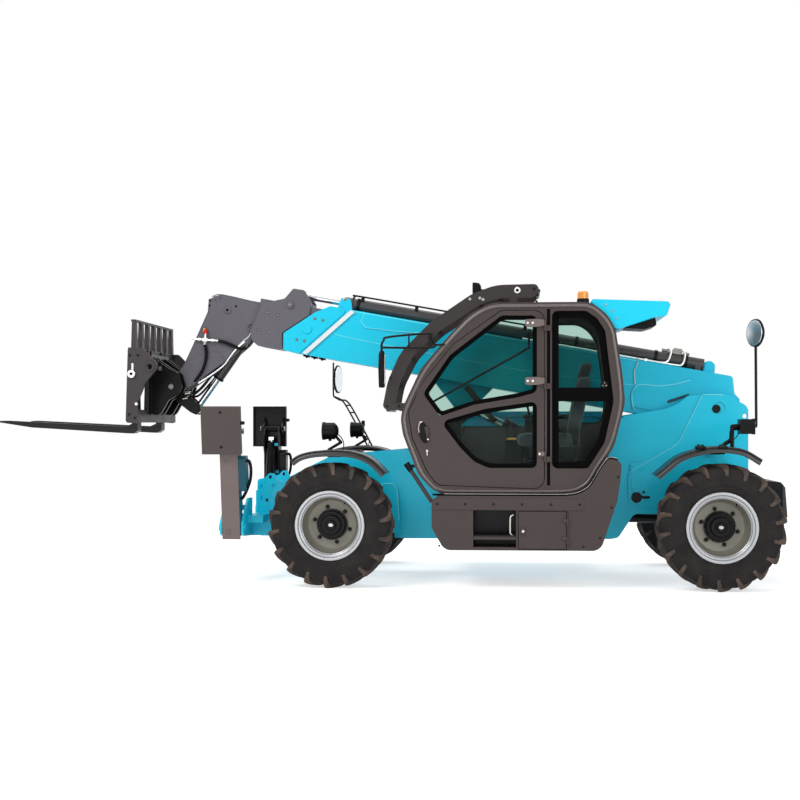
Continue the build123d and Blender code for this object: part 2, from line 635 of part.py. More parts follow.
with BuildPart() as boom_outer:
    slab(boomed(OUTER_OUTLINE), -OUTER_HALF_WIDTH, OUTER_HALF_WIDTH, soft=35)
    boom_box(
        (190, 3900), (OUTER_BOTTOM_V + OUTER_WALL, OUTER_TOP_V - OUTER_WALL),
        (-OUTER_HALF_WIDTH + OUTER_WALL, OUTER_HALF_WIDTH - OUTER_WALL), Mode.SUBTRACT,
    )
    # Slide pads just inside the mouth, against the middle section.
    boom_box((3600, 3700), (OUTER_BOTTOM_V + OUTER_WALL - 1, MID_BOTTOM_V - PAD_GAP), (-110, 110))
    boom_box((3280, 3380), (MID_TOP_V + PAD_GAP, OUTER_TOP_V - OUTER_WALL + 1), (-110, 110))
    for side in SIDES.values():
        slab(
            boomed([(30, 300), (40, 380), (75, 405), (115, 400), (128, 300)]), side * 60, side * 74,
            soft=18,
        )
        boom_box(
            (3540, 3640), (-60, 40),
            (side * (MID_HALF_WIDTH + PAD_GAP), side * (OUTER_HALF_WIDTH - OUTER_WALL + 1)),
        )
        slab(boomed(LIFT_LUG_OUTLINE), side * 58, side * 84)
        pin(*on_boom(LIFT_EYE_U, LIFT_EYE_V), side * 58, side * 100, 45)
        # Plates on the flanks: over the pivot, over the lift lug, along the top and round the mouth.
        flank = (side * (OUTER_HALF_WIDTH - 1), side * (OUTER_HALF_WIDTH + 10))
        slab(
            boomed(
                [
                    (-150, -60), (-150, 150), (240, 230), (304, 193), (477, 112), (683, 92), (700, -100),
                    (0, -125),
                ],
            ),
            *flank, soft=55,
        )
        slab(boomed(MOUTH_PLATE), *flank, soft=25)
        slab(
            boomed([(2420, 215), (2500, 290), (3120, 290), (3080, 165)]), side * (OUTER_HALF_WIDTH - 1),
            side * (OUTER_HALF_WIDTH + 6), soft=20,
        )
        pin(*on_boom(3556, 73), side * (OUTER_HALF_WIDTH + 5), side * (OUTER_HALF_WIDTH + 18), 42)
        for bolt_u, bolt_v in ((3503, 172), (3431, 170), (3627, -34), (3560, -36)):
            pin(
                *on_boom(bolt_u, bolt_v), side * (OUTER_HALF_WIDTH + 5), side * (OUTER_HALF_WIDTH + 11), 13,
                Mode.SUBTRACT,
            )
    pin(PIVOT_X, PIVOT_Z, -(PLATE_INNER_Y - 2), PLATE_INNER_Y - 2, 78)
    pin(PIVOT_X, PIVOT_Z, -PLATE_INNER_Y, PLATE_INNER_Y, PIVOT_PIN_RADIUS + RUNNING_GAP, Mode.SUBTRACT)
save("boom_outer", boom_outer)

with BuildPart() as extension_barrel:
    rear = on_boom(EXTENSION_BARREL_REAR_U, EXTENSION_V)
    front = on_boom(EXTENSION_BARREL_FRONT_U, EXTENSION_V)
    bore_end = on_boom(EXTENSION_BARREL_REAR_U + 60, EXTENSION_V)
    bar((rear[0], 0, rear[1]), (front[0], 0, front[1]), EXTENSION_BARREL_RADIUS)
    for saddle_u in (EXTENSION_BARREL_REAR_U + 20, EXTENSION_BARREL_FRONT_U - 80):
        boom_box(
            (saddle_u, saddle_u + 50), (OUTER_TOP_V, EXTENSION_V),
            (-EXTENSION_BARREL_RADIUS, EXTENSION_BARREL_RADIUS),
        )
    bar(
        (bore_end[0], 0, bore_end[1]), (front[0] - 5, 0, front[1] + 0.9),
        EXTENSION_ROD_RADIUS + RUNNING_GAP, Mode.SUBTRACT,
    )
save("extension_barrel", extension_barrel)

MID_COLLAR = [
    (3741, -146), (3770, 2), (3562, 196), (3562, 310), (3600, 350), (3640, 400), (3740, 400), (3800, 300),
    (3988, 227), (4049, -41), (4017, -114), (3960, -146),
]
with BuildPart() as boom_mid:
    boom_box((MID_REAR_U, 4010), (MID_BOTTOM_V, MID_TOP_V), (-MID_HALF_WIDTH, MID_HALF_WIDTH))
    slab(boomed(MID_COLLAR), -165, 165, soft=22)
    boom_box((3500, 4100), (MID_TOP_V + 30, 500), (-120, 120), Mode.SUBTRACT)
    boom_box(
        (MID_REAR_U - 10, 4100), (MID_BOTTOM_V + MID_WALL, MID_TOP_V - MID_WALL),
        (-MID_HALF_WIDTH + MID_WALL, MID_HALF_WIDTH - MID_WALL), Mode.SUBTRACT,
    )
    pin(*on_boom(EXTENSION_LUG_U, EXTENSION_V), -121, 121, 26)
    for side in SIDES.values():
        pin(*on_boom(3743, 255), side * 160, side * 178, 32)
        for bolt_u, bolt_v in ((3927, 154), (3832, 149), (3976, -6), (3883, -8)):
            pin(*on_boom(bolt_u, bolt_v), side * 155, side * 166, 13, Mode.SUBTRACT)
    # Front pads against the inner section, rear pads against the outer one.
    boom_box((3880, 3960), (MID_BOTTOM_V + MID_WALL - 1, INNER_BOTTOM_V - PAD_GAP), (-90, 90))
    boom_box((3800, 3880), (INNER_TOP_V + PAD_GAP, MID_TOP_V - MID_WALL + 1), (-90, 90))
    boom_box(
        (MID_REAR_U + 20, MID_REAR_U + 120), (MID_TOP_V - 1, OUTER_TOP_V - OUTER_WALL - PAD_GAP),
        (-110, 110),
    )
    for side in SIDES.values():
        boom_box(
            (3860, 3940), (-20, 80),
            (side * (INNER_HALF_WIDTH + PAD_GAP), side * (MID_HALF_WIDTH - MID_WALL + 1)),
        )
        boom_box(
            (MID_REAR_U + 20, MID_REAR_U + 120), (0, 120),
            (side * (MID_HALF_WIDTH - 1), side * (OUTER_HALF_WIDTH - OUTER_WALL - PAD_GAP)),
        )
save("boom_mid", boom_mid)

with BuildPart() as extension_rod:
    lug = on_boom(EXTENSION_LUG_U, EXTENSION_V)
    inner_end = on_boom(EXTENSION_LUG_U - 3100, EXTENSION_V)
    bar((lug[0], 0, lug[1]), (inner_end[0], 0, inner_end[1]), EXTENSION_ROD_RADIUS)
    eye((lug[0], 0, lug[1]), "y", 32, 50, 26)
save("extension_rod", extension_rod)

HEAD_OUTLINE = [
    (-725, 2374), (-1085, 2459), (-1174, 2440), (-1196, 2348), (-1408, 1885), (-1500, 1735),
    (TILT_PIVOT_X - 62, TILT_PIVOT_Z + 62), (TILT_PIVOT_X - 88, TILT_PIVOT_Z),
    (TILT_PIVOT_X - 62, TILT_PIVOT_Z - 62),
    (TILT_PIVOT_X, TILT_PIVOT_Z - 88), (TILT_PIVOT_X + 62, TILT_PIVOT_Z - 62), (-1360, 1660),
    (-1010, 1900), (-880, 2015), (-747, 2185),
]
HEAD_FLANGE = [(-1160, 2436), (-1215, 2420), (-1225, 2290), (-1190, 2270), (-1180, 2340)]
HEAD_LOWER_PLATE = [
    (-1400, 1880), (-1500, 1735), (TILT_PIVOT_X - 62, TILT_PIVOT_Z + 62),
    (TILT_PIVOT_X - 86, TILT_PIVOT_Z),
    (TILT_PIVOT_X, TILT_PIVOT_Z - 86), (TILT_PIVOT_X + 62, TILT_PIVOT_Z - 62), (-1360, 1662),
    (-1060, 1870), (-1130, 1960),
]
HEAD_WEB = [(-1174, 2440), (-1196, 2348), (-1408, 1885), (-1392, 1877), (-1180, 2340), (-1160, 2430)]
with BuildPart() as boom_inner:
    boom_box(
        (INNER_REAR_U, INNER_FRONT_U), (INNER_BOTTOM_V, INNER_TOP_V),
        (-INNER_HALF_WIDTH, INNER_HALF_WIDTH),
    )
    boom_box(
        (INNER_REAR_U - 10, INNER_FRONT_U + 10), (INNER_BOTTOM_V + INNER_WALL, INNER_TOP_V - INNER_WALL),
        (-INNER_HALF_WIDTH + INNER_WALL, INNER_HALF_WIDTH - INNER_WALL), Mode.SUBTRACT,
    )
    boom_box(
        (4015, INNER_FRONT_U + 10), (INNER_BOTTOM_V - 10, INNER_BOTTOM_V + INNER_WALL + 1),
        (-HEAD_PLATE_INNER_Y, HEAD_PLATE_INNER_Y), Mode.SUBTRACT,
    )
    both_slabs(HEAD_OUTLINE, HEAD_PLATE_INNER_Y, INNER_HALF_WIDTH, soft=30)
    both_slabs(HEAD_FLANGE, HEAD_PLATE_INNER_Y - 30, HEAD_PLATE_INNER_Y + 1)
    both_slabs(HEAD_LOWER_PLATE, INNER_HALF_WIDTH - 1, INNER_HALF_WIDTH + 8, soft=30)
    both_slabs(
        [(-1052, 2310), (-1052, 2330), (-1032, 2330), (-1032, 2310)], INNER_HALF_WIDTH - 1,
        INNER_HALF_WIDTH + 4, soft=9,
    )
    slab(HEAD_WEB, -HEAD_PLATE_INNER_Y - 1, HEAD_PLATE_INNER_Y + 1)
    pin(TILT_BASE_X, TILT_BASE_Z, -INNER_HALF_WIDTH, INNER_HALF_WIDTH, 25)
    boom_box(
        (INNER_REAR_U + 20, INNER_REAR_U + 120), (INNER_TOP_V - 1, MID_TOP_V - MID_WALL - PAD_GAP),
        (-90, 90),
    )
    for side in SIDES.values():
        boom_box(
            (INNER_REAR_U + 20, INNER_REAR_U + 120), (20, 120),
            (side * (INNER_HALF_WIDTH - 1), side * (MID_HALF_WIDTH - MID_WALL - PAD_GAP)),
        )
        pin(TILT_PIVOT_X, TILT_PIVOT_Z, side * (HEAD_PLATE_INNER_Y - 5), side * (INNER_HALF_WIDTH + 5), 80)
        pin(
            TILT_PIVOT_X, TILT_PIVOT_Z, side * (HEAD_PLATE_INNER_Y - 6), side * (INNER_HALF_WIDTH + 9),
            TILT_PIN_RADIUS + RUNNING_GAP, Mode.SUBTRACT,
        )
save("boom_inner", boom_inner)

# ---------------------------------------------------------------- lift and tilt cylinders
LIFT_BASE = (LIFT_BASE_X, 0.0, LIFT_BASE_Z)
LIFT_TIP = (on_boom(LIFT_EYE_U, LIFT_EYE_V)[0], 0.0, on_boom(LIFT_EYE_U, LIFT_EYE_V)[1])
with BuildPart() as lift_barrel:
    bar(along(LIFT_BASE, LIFT_TIP, 60), along(LIFT_BASE, LIFT_TIP, LIFT_BARREL_LENGTH), LIFT_BARREL_RADIUS)
    bar(
        along(LIFT_BASE, LIFT_TIP, 90), along(LIFT_BASE, LIFT_TIP, LIFT_BARREL_LENGTH + 1),
        LIFT_ROD_RADIUS + RUNNING_GAP, Mode.SUBTRACT,
    )
    eye(LIFT_BASE, "y", 60, 80, LIFT_PIN_RADIUS + RUNNING_GAP)
save("lift_barrel", lift_barrel)

with BuildPart() as lift_rod:
    bar(LIFT_TIP, along(LIFT_TIP, LIFT_BASE, LIFT_ROD_LENGTH), LIFT_ROD_RADIUS)
    eye(LIFT_TIP, "y", 50, 58, 32)
save("lift_rod", lift_rod)

TILT_BASE = (TILT_BASE_X, 0.0, TILT_BASE_Z)
TILT_TIP = (TILT_EYE_X, 0.0, TILT_EYE_Z)
with BuildPart() as tilt_barrel:
    bar(along(TILT_BASE, TILT_TIP, 35), along(TILT_BASE, TILT_TIP, TILT_BARREL_LENGTH), TILT_BARREL_RADIUS)
    bar(
        along(TILT_BASE, TILT_TIP, 70), along(TILT_BASE, TILT_TIP, TILT_BARREL_LENGTH + 1),
        TILT_ROD_RADIUS + RUNNING_GAP, Mode.SUBTRACT,
    )
    eye(TILT_BASE, "y", 40, 48, 25 + RUNNING_GAP)
save("tilt_barrel", tilt_barrel)

with BuildPart() as tilt_rod:
    bar(TILT_TIP, along(TILT_TIP, TILT_BASE, TILT_ROD_LENGTH), TILT_ROD_RADIUS)
    eye(TILT_TIP, "y", 34, 42, 22)
save("tilt_rod", tilt_rod)

# ---------------------------------------------------------------- coupler, carriage and forks
COUPLER_EAR = [
    (-1690, 1926), (-1610, 1860), (-1526, 1802), (-1440, 1760), (-1408, 1642), (-1440, 1570),
    (-1526, 1526),
    (-1600, 1396), (-1690, 1400), (-1690, 1500),
]
TILT_LEVER = [
    (TILT_PIVOT_X - 20, TILT_PIVOT_Z + 60), (TILT_PIVOT_X + 60, TILT_PIVOT_Z + 20),
    (TILT_EYE_X + 45, TILT_EYE_Z + 30),
    (TILT_EYE_X + 48, TILT_EYE_Z - 20), (TILT_EYE_X + 10, TILT_EYE_Z - 52),
    (TILT_EYE_X - 40, TILT_EYE_Z - 30), (TILT_PIVOT_X - 40, TILT_PIVOT_Z - 60),
]
with BuildPart() as coupler:
    both_slabs(COUPLER_EAR, 130, 156, soft=45)
    both_slabs(COUPLER_EAR, 262, 288, soft=45)
    for side in SIDES.values():
        pin(-1501, 1642, side * 131, side * 300, 30)
        pin(-1600, 1800, side * 131, side * 300, 24)
    block((-1700, -1676), (-300, 300), (1400, 1926))
    pin(TILT_PIVOT_X, TILT_PIVOT_Z, -170, 170, TILT_PIN_RADIUS)
    pin(TILT_PIVOT_X, TILT_PIVOT_Z, -86, 86, 66)
    both_slabs(TILT_LEVER, 46, 66)
    block((-1690, -1560), (-66, 66), (1600, 1690))
    for side in SIDES.values():
        pin(TILT_EYE_X, TILT_EYE_Z, side * 46, side * 76, 34)
        pin(TILT_PIVOT_X, TILT_PIVOT_Z, side * 156, side * 176, 55)
save("coupler", coupler)

CARRIAGE_SIDE = [
    (-1806, 1330), (-1787, 1966), (-1667, 1966), (-1530, 1830), (-1536, 1786), (-1640, 1660),
    (-1657, 1607),
    (-1701, 1504), (-1701, 1322),
]
with BuildPart() as fork_carriage:
    both_slabs(CARRIAGE_SIDE, CARRIAGE_HALF_WIDTH - CARRIAGE_PLATE, CARRIAGE_HALF_WIDTH, soft=24)
    for side in SIDES.values():
        pin(-1599, 1803, side * (CARRIAGE_HALF_WIDTH - 5), side * (CARRIAGE_HALF_WIDTH + 8), 44)
        pin(
            -1599, 1803, side * (CARRIAGE_HALF_WIDTH - CARRIAGE_PLATE - 1),
            side * (CARRIAGE_HALF_WIDTH + 9), 24, Mode.SUBTRACT,
        )
        block(
            (-1757, -1735), (side * (CARRIAGE_HALF_WIDTH - 5), side * (CARRIAGE_HALF_WIDTH + 1)),
            (1770, 1838), Mode.SUBTRACT,
        )
    pin(-1752, 1742, -CARRIAGE_HALF_WIDTH - 14, CARRIAGE_HALF_WIDTH + 14, FORK_SHAFT_RADIUS)
    slab(
        [(-1786, 1905), (-1784, 1966), (-1720, 1966), (-1720, 1905)], -CARRIAGE_HALF_WIDTH,
        CARRIAGE_HALF_WIDTH,
    )
    slab(
        [(-1745, 1330), (-1742, 1440), (-1700, 1440), (-1700, 1330)], -CARRIAGE_HALF_WIDTH,
        CARRIAGE_HALF_WIDTH,
    )
    for upright_y in (-300, -200, 170, 270):
        slab([(-1745, 1340), (-1730, 1960), (-1700, 1960), (-1700, 1340)], upright_y, upright_y + 30)
    for bar_y in [(-3 + count) * 205 for count in range(7)]:
        slab([(-1760, 1950), (-1752, 2200), (-1722, 2200), (-1716, 1950)], bar_y - 32, bar_y + 32)
    slab([(-1760, 2186), (-1760, 2204), (-1720, 2204), (-1720, 2186)], -645, 645)
save("fork_carriage", fork_carriage)

FORK_OUTLINE = [
    (-1812, 1700), (-1766, 1701), (-1754, 1300), (-1754, 1262), (-1790, 1236), (-1840, 1237),
    (FORK_TIP_X + 300, 1287), (FORK_TIP_X + 10, 1331), (FORK_TIP_X, 1344), (FORK_TIP_X + 60, 1347),
    (-1860, 1296), (-1806, 1320),
]
with BuildPart() as forks:
    for side in SIDES.values():
        y_inner = side * (FORK_Y - FORK_WIDTH / 2)
        y_outer = side * (FORK_Y + FORK_WIDTH / 2)
        slab(FORK_OUTLINE, y_inner, y_outer)
        pin(-1752, 1742, y_inner, y_outer, FORK_SHAFT_RADIUS + 26)
        pin(-1752, 1742, y_inner - side, y_outer + side, FORK_SHAFT_RADIUS + SEAT_GAP, Mode.SUBTRACT)
save("forks", forks)

# ---------------------------------------------------------------- cab
CAB_OUTLINE = [
    (1290, ROOF_Z), (2085, ROOF_Z), (2204, ROOF_Z - 95), (2275, ROOF_Z - 209), (2331, 1713),
    (2352, 1486), (2266, 1144),
    (2134, 937), (2074, 827), (1965, CAB_BOTTOM_Z + 10), (1784, CAB_BOTTOM_Z), (918, CAB_BOTTOM_Z),
    (819, 792),
    (709, 908), (584, 1231), (562, 1374), (598, 1488), (727, 1761), (957, ROOF_Z - 258),
    (1120, ROOF_Z - 90),
]
DOOR_OPENING = [
    (DOOR_HINGE_X, ROOF_Z - 60), (1372, ROOF_Z - 60), (985, ROOF_Z - 330), (745, 1660), (622, 1415),
    (656, 1205), (770, 945),
    (860, 825), (DOOR_HINGE_X, 796),
]
QUARTER_WINDOW = [
    (1775, ROOF_Z - 70), (2045, ROOF_Z - 70), (2130, ROOF_Z - 130), (2195, ROOF_Z - 230),
    (2262, 1500), (2190, 1170),
    (2060, 965), (1775, 965),
]
RIGHT_WINDOW = [
    (1700, ROOF_Z - 90), (1330, ROOF_Z - 90), (960, ROOF_Z - 390), (720, 1560), (760, 1300), (1700, 1300),
]
FRONT_WINDOW = [(500, 1430), (660, 1400), (1210, ROOF_Z - 120), (1150, ROOF_Z - 30), (700, ROOF_Z - 90)]
REAR_WINDOW = [(2200, 1250), (2420, 1250), (2420, ROOF_Z - 290), (2200, ROOF_Z - 290)]
DOOR_CORNER = 90.0
WINDOW_CORNER = 45.0
CAB_SIDE_Y = (CAB_OUTER_Y, CAB_OUTER_Y + CAB_WALL)
CAB_FAR_Y = (CAB_INNER_Y - CAB_WALL, CAB_INNER_Y)
FLOOR_Z = 880.0
ROOF_SPLIT_Z = ROOF_Z - CAB_WALL


def cab_prism(inset, y_from, y_to, mode=Mode.ADD):
    """The cab's side outline, drawn in by inset, between two Y values."""
    with BuildSketch(Plane.XZ.offset(-y_from)) as face:
        with BuildLine():
            soft_wire(shifted(CAB_OUTLINE), 260)
        make_face()
        if inset:
            offset(amount=-inset, kind=Kind.INTERSECTION, mode=Mode.REPLACE)
    extrude(face.sketch, amount=y_from - y_to, mode=mode)


with BuildPart() as cab_shell:
    cab_prism(0, CAB_OUTER_Y, CAB_INNER_Y)
    cab_prism(CAB_WALL, CAB_SIDE_Y[1], CAB_FAR_Y[0], Mode.SUBTRACT)
    slab(DOOR_OPENING, CAB_SIDE_Y[0] - 5, CAB_SIDE_Y[1] + 5, Mode.SUBTRACT, soft=DOOR_CORNER)
    slab(QUARTER_WINDOW, CAB_SIDE_Y[0] - 5, CAB_SIDE_Y[1] + 5, Mode.SUBTRACT, soft=WINDOW_CORNER)
    slab(RIGHT_WINDOW, CAB_FAR_Y[0] - 5, CAB_FAR_Y[1] + 5, Mode.SUBTRACT, soft=WINDOW_CORNER)
    slab(FRONT_WINDOW, CAB_OUTER_Y + 70, CAB_INNER_Y - 70, Mode.SUBTRACT)
    slab(REAR_WINDOW, CAB_OUTER_Y + 90, CAB_INNER_Y - 90, Mode.SUBTRACT)
    block((500, 2500), (CAB_OUTER_Y - 5, CAB_INNER_Y + 5), (ROOF_SPLIT_Z, ROOF_Z + 110), Mode.SUBTRACT)
    for hinge_z in (2106, 1644, 1061):
        pin_foot = (DOOR_HINGE_X + 3, CAB_OUTER_Y - 14)
        bar((*pin_foot, hinge_z - 45), (*pin_foot, hinge_z - 1), DOOR_HINGE_RADIUS)
        bar((*pin_foot, hinge_z - 2), (*pin_foot, hinge_z + 36), 6)
        block(
            (DOOR_HINGE_X + 1, DOOR_HINGE_X + 50), (CAB_OUTER_Y - 14, CAB_OUTER_Y + 1),
            (hinge_z - 45, hinge_z - 1),
        )
save("cab_shell", cab_shell)

with BuildPart() as cab_roof:
    cab_prism(0, CAB_OUTER_Y, CAB_INNER_Y)
    block((400, 2500), (CAB_OUTER_Y - 5, CAB_INNER_Y + 5), (600, ROOF_SPLIT_Z), Mode.SUBTRACT)
save("cab_roof", cab_roof)

with BuildPart() as cab_floor:
    cab_prism(CAB_WALL + SEAT_GAP, CAB_SIDE_Y[1] + SEAT_GAP, CAB_FAR_Y[0] - SEAT_GAP)
    block((400, 2500), (CAB_OUTER_Y - 5, CAB_INNER_Y + 5), (FLOOR_Z, ROOF_Z + 110), Mode.SUBTRACT)
save("cab_floor", cab_floor)


def wall_pane(window, wall_y, step):
    """A side pane behind its window, lapping the wall by 14 mm all round."""
    with BuildSketch(Plane.XZ.offset(-wall_y)) as face:
        with BuildLine():
            soft_wire(shifted(window), WINDOW_CORNER)
        make_face()
        offset(amount=14, kind=Kind.INTERSECTION, mode=Mode.REPLACE)
    extrude(face.sketch, amount=-step * GLASS)


with BuildPart() as cab_glass:
    cab_prism(CAB_WALL, CAB_OUTER_Y + 60, CAB_INNER_Y - 60)
    cab_prism(CAB_WALL + GLASS, CAB_OUTER_Y + 50, CAB_INNER_Y - 50, Mode.SUBTRACT)
    block((1290, 2260), (-1100, -300), (700, ROOF_Z + 110), Mode.SUBTRACT)
    block((500, 2500), (-1100, -300), (600, 1360), Mode.SUBTRACT)
    block((500, 2500), (-1100, -300), (ROOF_Z - 90, ROOF_Z + 110), Mode.SUBTRACT)
    wall_pane(QUARTER_WINDOW, CAB_SIDE_Y[1], 1)
    wall_pane(RIGHT_WINDOW, CAB_FAR_Y[0], -1)
save("cab_glass", cab_glass)

with BuildPart() as door_frame:
    with BuildSketch(Plane.XZ.offset(-CAB_SIDE_Y[0])) as leaf:
        with BuildLine():
            soft_wire(shifted(DOOR_OPENING), DOOR_CORNER)
        make_face()
        offset(amount=-DOOR_GAP, kind=Kind.INTERSECTION, mode=Mode.REPLACE)
    extrude(leaf.sketch, amount=-(CAB_WALL - 5))
    DOOR_WINDOWS = [
        [
            (1371, ROOF_Z - 104), (1655, ROOF_Z - 106), (1655, 1573), (1498, 1530), (1157, 1474),
            (880, 1380),
            (745, 1561), (960, ROOF_Z - 420),
        ],
        [(886, 1338), (1243, 1440), (1655, 1500), (1655, 968), (1271, 967), (1157, 1017), (1043, 1131)],
    ]
    for window in DOOR_WINDOWS:
        slab(window, CAB_SIDE_Y[0] - 5, CAB_SIDE_Y[1] + 5, Mode.SUBTRACT, soft=WINDOW_CORNER)
    for hinge_z in (2106, 1644, 1061):
        knuckle_foot = (DOOR_HINGE_X + 3, CAB_OUTER_Y - 14)
        bar((*knuckle_foot, hinge_z), (*knuckle_foot, hinge_z + 40), DOOR_HINGE_RADIUS)
        block(
            (DOOR_HINGE_X - 46, DOOR_HINGE_X + 3), (CAB_OUTER_Y - 18, CAB_OUTER_Y - 6),
            (hinge_z, hinge_z + 40),
        )
        block(
            (DOOR_HINGE_X - 46, DOOR_HINGE_X - DOOR_GAP), (CAB_OUTER_Y - 18, CAB_OUTER_Y + 1),
            (hinge_z, hinge_z + 40),
        )
        bar((*knuckle_foot, hinge_z - 1), (*knuckle_foot, hinge_z + 37), 6 + RUNNING_GAP, Mode.SUBTRACT)
    with Locations((FRONT_AXLE_X + 760, CAB_OUTER_Y - 12, 1252)):
        Box(60, 26, 90)
save("door_frame", door_frame)

with BuildPart() as door_glass:
    for window in DOOR_WINDOWS:
        wall_pane(window, CAB_SIDE_Y[0] + CAB_WALL - 5, 1)
save("door_glass", door_glass)

with BuildPart() as operator_seat:
    block((1560, 2000), (-920, -500), (FLOOR_Z, 1120))
    block((1500, 2010), (-950, -470), (1120, 1240))
    slab([(1900, 1230), (2010, 1230), (2120, 1800), (2020, 1810)], -940, -480)
save("operator_seat", operator_seat)

with BuildPart() as console:
    slab([(850, FLOOR_Z), (980, FLOOR_Z), (1060, 1290), (900, 1400), (720, 1330),
    (735, 1100)], -880, -540)
    bar((980, -710, 1300), (1200, -710, 1480), 28)
    with BuildSketch(Plane(origin=(FRONT_AXLE_X + 1200, -710, 1480), z_dir=(0.77, 0, 0.63))) as wheel_face:
        Circle(190)
        Circle(165, mode=Mode.SUBTRACT)
        Rectangle(340, 30)
    extrude(wheel_face.sketch, amount=24, both=True)
    block((1560, 1980), (-450, -412), (FLOOR_Z, 1360))
save("console", console)

GUARD_OUTER = [
    (411, 1434), (457, 1665), (559, ROOF_Z - 394), (806, ROOF_Z - 148), (1137, ROOF_Z + 75),
    (1326, ROOF_Z + 144),
    (1684, ROOF_Z + 150),
]
GUARD_INNER = [
    (1650, ROOF_Z + 40), (1380, ROOF_Z + 40), (1228, ROOF_Z), (875, ROOF_Z - 225),
    (661, ROOF_Z - 423), (545, 1635),
    (508, 1434),
]
with BuildPart() as front_guard:
    for rail_y in (CAB_OUTER_Y + 40, CAB_INNER_Y - 52):
        slab(GUARD_OUTER + GUARD_INNER, rail_y, rail_y + 12, soft=420)
    for (x_out, z_out), (x_in, z_in) in zip(GUARD_OUTER, reversed(GUARD_INNER)):
        x_mid = (x_out + x_in) / 2
        z_mid = (z_out + z_in) / 2
        pin(x_mid, z_mid, CAB_OUTER_Y + 41, CAB_INNER_Y - 41, 16)
    for foot_y in (CAB_OUTER_Y + 40, CAB_INNER_Y - 52):
        slab([(500, 1440), (500, 1490), (598, 1488), (575, 1420)], foot_y, foot_y + 12)
        slab(
            [(1440, ROOF_Z + 45), (1440, ROOF_Z), (1500, ROOF_Z),
            (1500, ROOF_Z + 45)], foot_y, foot_y + 12,
        )
save("front_guard", front_guard)

AC_OUTLINE = [
    (2090, ROOF_Z - 3), (2090, ROOF_Z + 26), (2717, ROOF_Z + 2), (2681, ROOF_Z - 114),
    (2596, ROOF_Z - 119),
    (2299, ROOF_Z - 215), (2275, ROOF_Z - 209), (2204, ROOF_Z - 95),
]
AC_DRIP_TRAY = [
    (2366, ROOF_Z - 194), (2366, ROOF_Z - 170), (2600, ROOF_Z - 118), (2608, ROOF_Z - 180),
    (2523, ROOF_Z - 205),
]
with BuildPart() as ac_unit:
    slab(AC_OUTLINE, CAB_OUTER_Y + 40, CAB_INNER_Y - 20, soft=28)
    slab(AC_DRIP_TRAY, -900, -560, soft=25)
save("ac_unit", ac_unit)

# ---------------------------------------------------------------- step box and its door
STEP_OUTLINE = [
    (818, CAB_BOTTOM_Z), (1784, CAB_BOTTOM_Z), (1965, CAB_BOTTOM_Z + 10), (2074, 827), (2134, 937),
    (2214, 1060),
    (2322, 1030), (2309, 868), (2286, 711), (2154, 317), (921, 314), (818, 490),
]
STORAGE_X = (1504.0, 1890.0)
STORAGE_Z = (324.0, 630.0)
with BuildPart() as step_box:
    slab(STEP_OUTLINE, STEP_BOX_Y, STEP_BOX_INNER_Y, soft=90)
    cab_prism(0, STEP_BOX_Y - 1, -PLATE_OUTER_Y, Mode.SUBTRACT)
    slab([(826, 637), (826, 728), (2022, 728), (2022, 637)], STEP_BOX_Y - 7, STEP_BOX_Y + 1, soft=8)
    slab(
        [(1150, 340), (1150, 634), (1490, 634), (1490, 340)], STEP_BOX_Y - 5, STEP_BOX_Y + 280,
        Mode.SUBTRACT,
    )
    block((1150, 1490), (STEP_BOX_Y + 4, STEP_BOX_Y + 260), (400, 425))
    block(STORAGE_X, (STEP_BOX_Y - 5, STEP_BOX_Y + 24), STORAGE_Z, Mode.SUBTRACT)
    block(
        (STORAGE_X[0] + 22, STORAGE_X[1] - 22), (STEP_BOX_Y, STEP_BOX_Y + 400),
        (STORAGE_Z[0] + 22, STORAGE_Z[1] - 22), Mode.SUBTRACT,
    )
    for hinge_z in (400, 540):
        foot = (STORAGE_X[1] + 4, STEP_BOX_Y - 10)
        bar((*foot, hinge_z - 30), (*foot, hinge_z - 1), 8)
        bar((*foot, hinge_z - 2), (*foot, hinge_z + 26), 4)
        block(
            (STORAGE_X[1] + 3, STORAGE_X[1] + 30), (STEP_BOX_Y - 10, STEP_BOX_Y + 1),
            (hinge_z - 30, hinge_z - 1),
        )
save("step_box", step_box)

with BuildPart() as storage_door:
    block(
        (STORAGE_X[0] + DOOR_GAP, STORAGE_X[1] - DOOR_GAP), (STEP_BOX_Y, STEP_BOX_Y + 16),
        (STORAGE_Z[0] + DOOR_GAP, STORAGE_Z[1] - DOOR_GAP),
    )
    for hinge_z in (400, 540):
        foot = (STORAGE_X[1] + 4, STEP_BOX_Y - 10)
        bar((*foot, hinge_z), (*foot, hinge_z + 29), 8)
        block(
            (STORAGE_X[1] - 36, STORAGE_X[1] + 4), (STEP_BOX_Y - 14, STEP_BOX_Y - 5),
            (hinge_z, hinge_z + 29),
        )
        block(
            (STORAGE_X[1] - 36, STORAGE_X[1] - DOOR_GAP), (STEP_BOX_Y - 14, STEP_BOX_Y + 1),
            (hinge_z, hinge_z + 29),
        )
        bar((*foot, hinge_z - 1), (*foot, hinge_z + 27), 4 + RUNNING_GAP, Mode.SUBTRACT)
    block((1530, 1560), (STEP_BOX_Y - 14, STEP_BOX_Y + 1), (440, 500))
save("storage_door", storage_door)

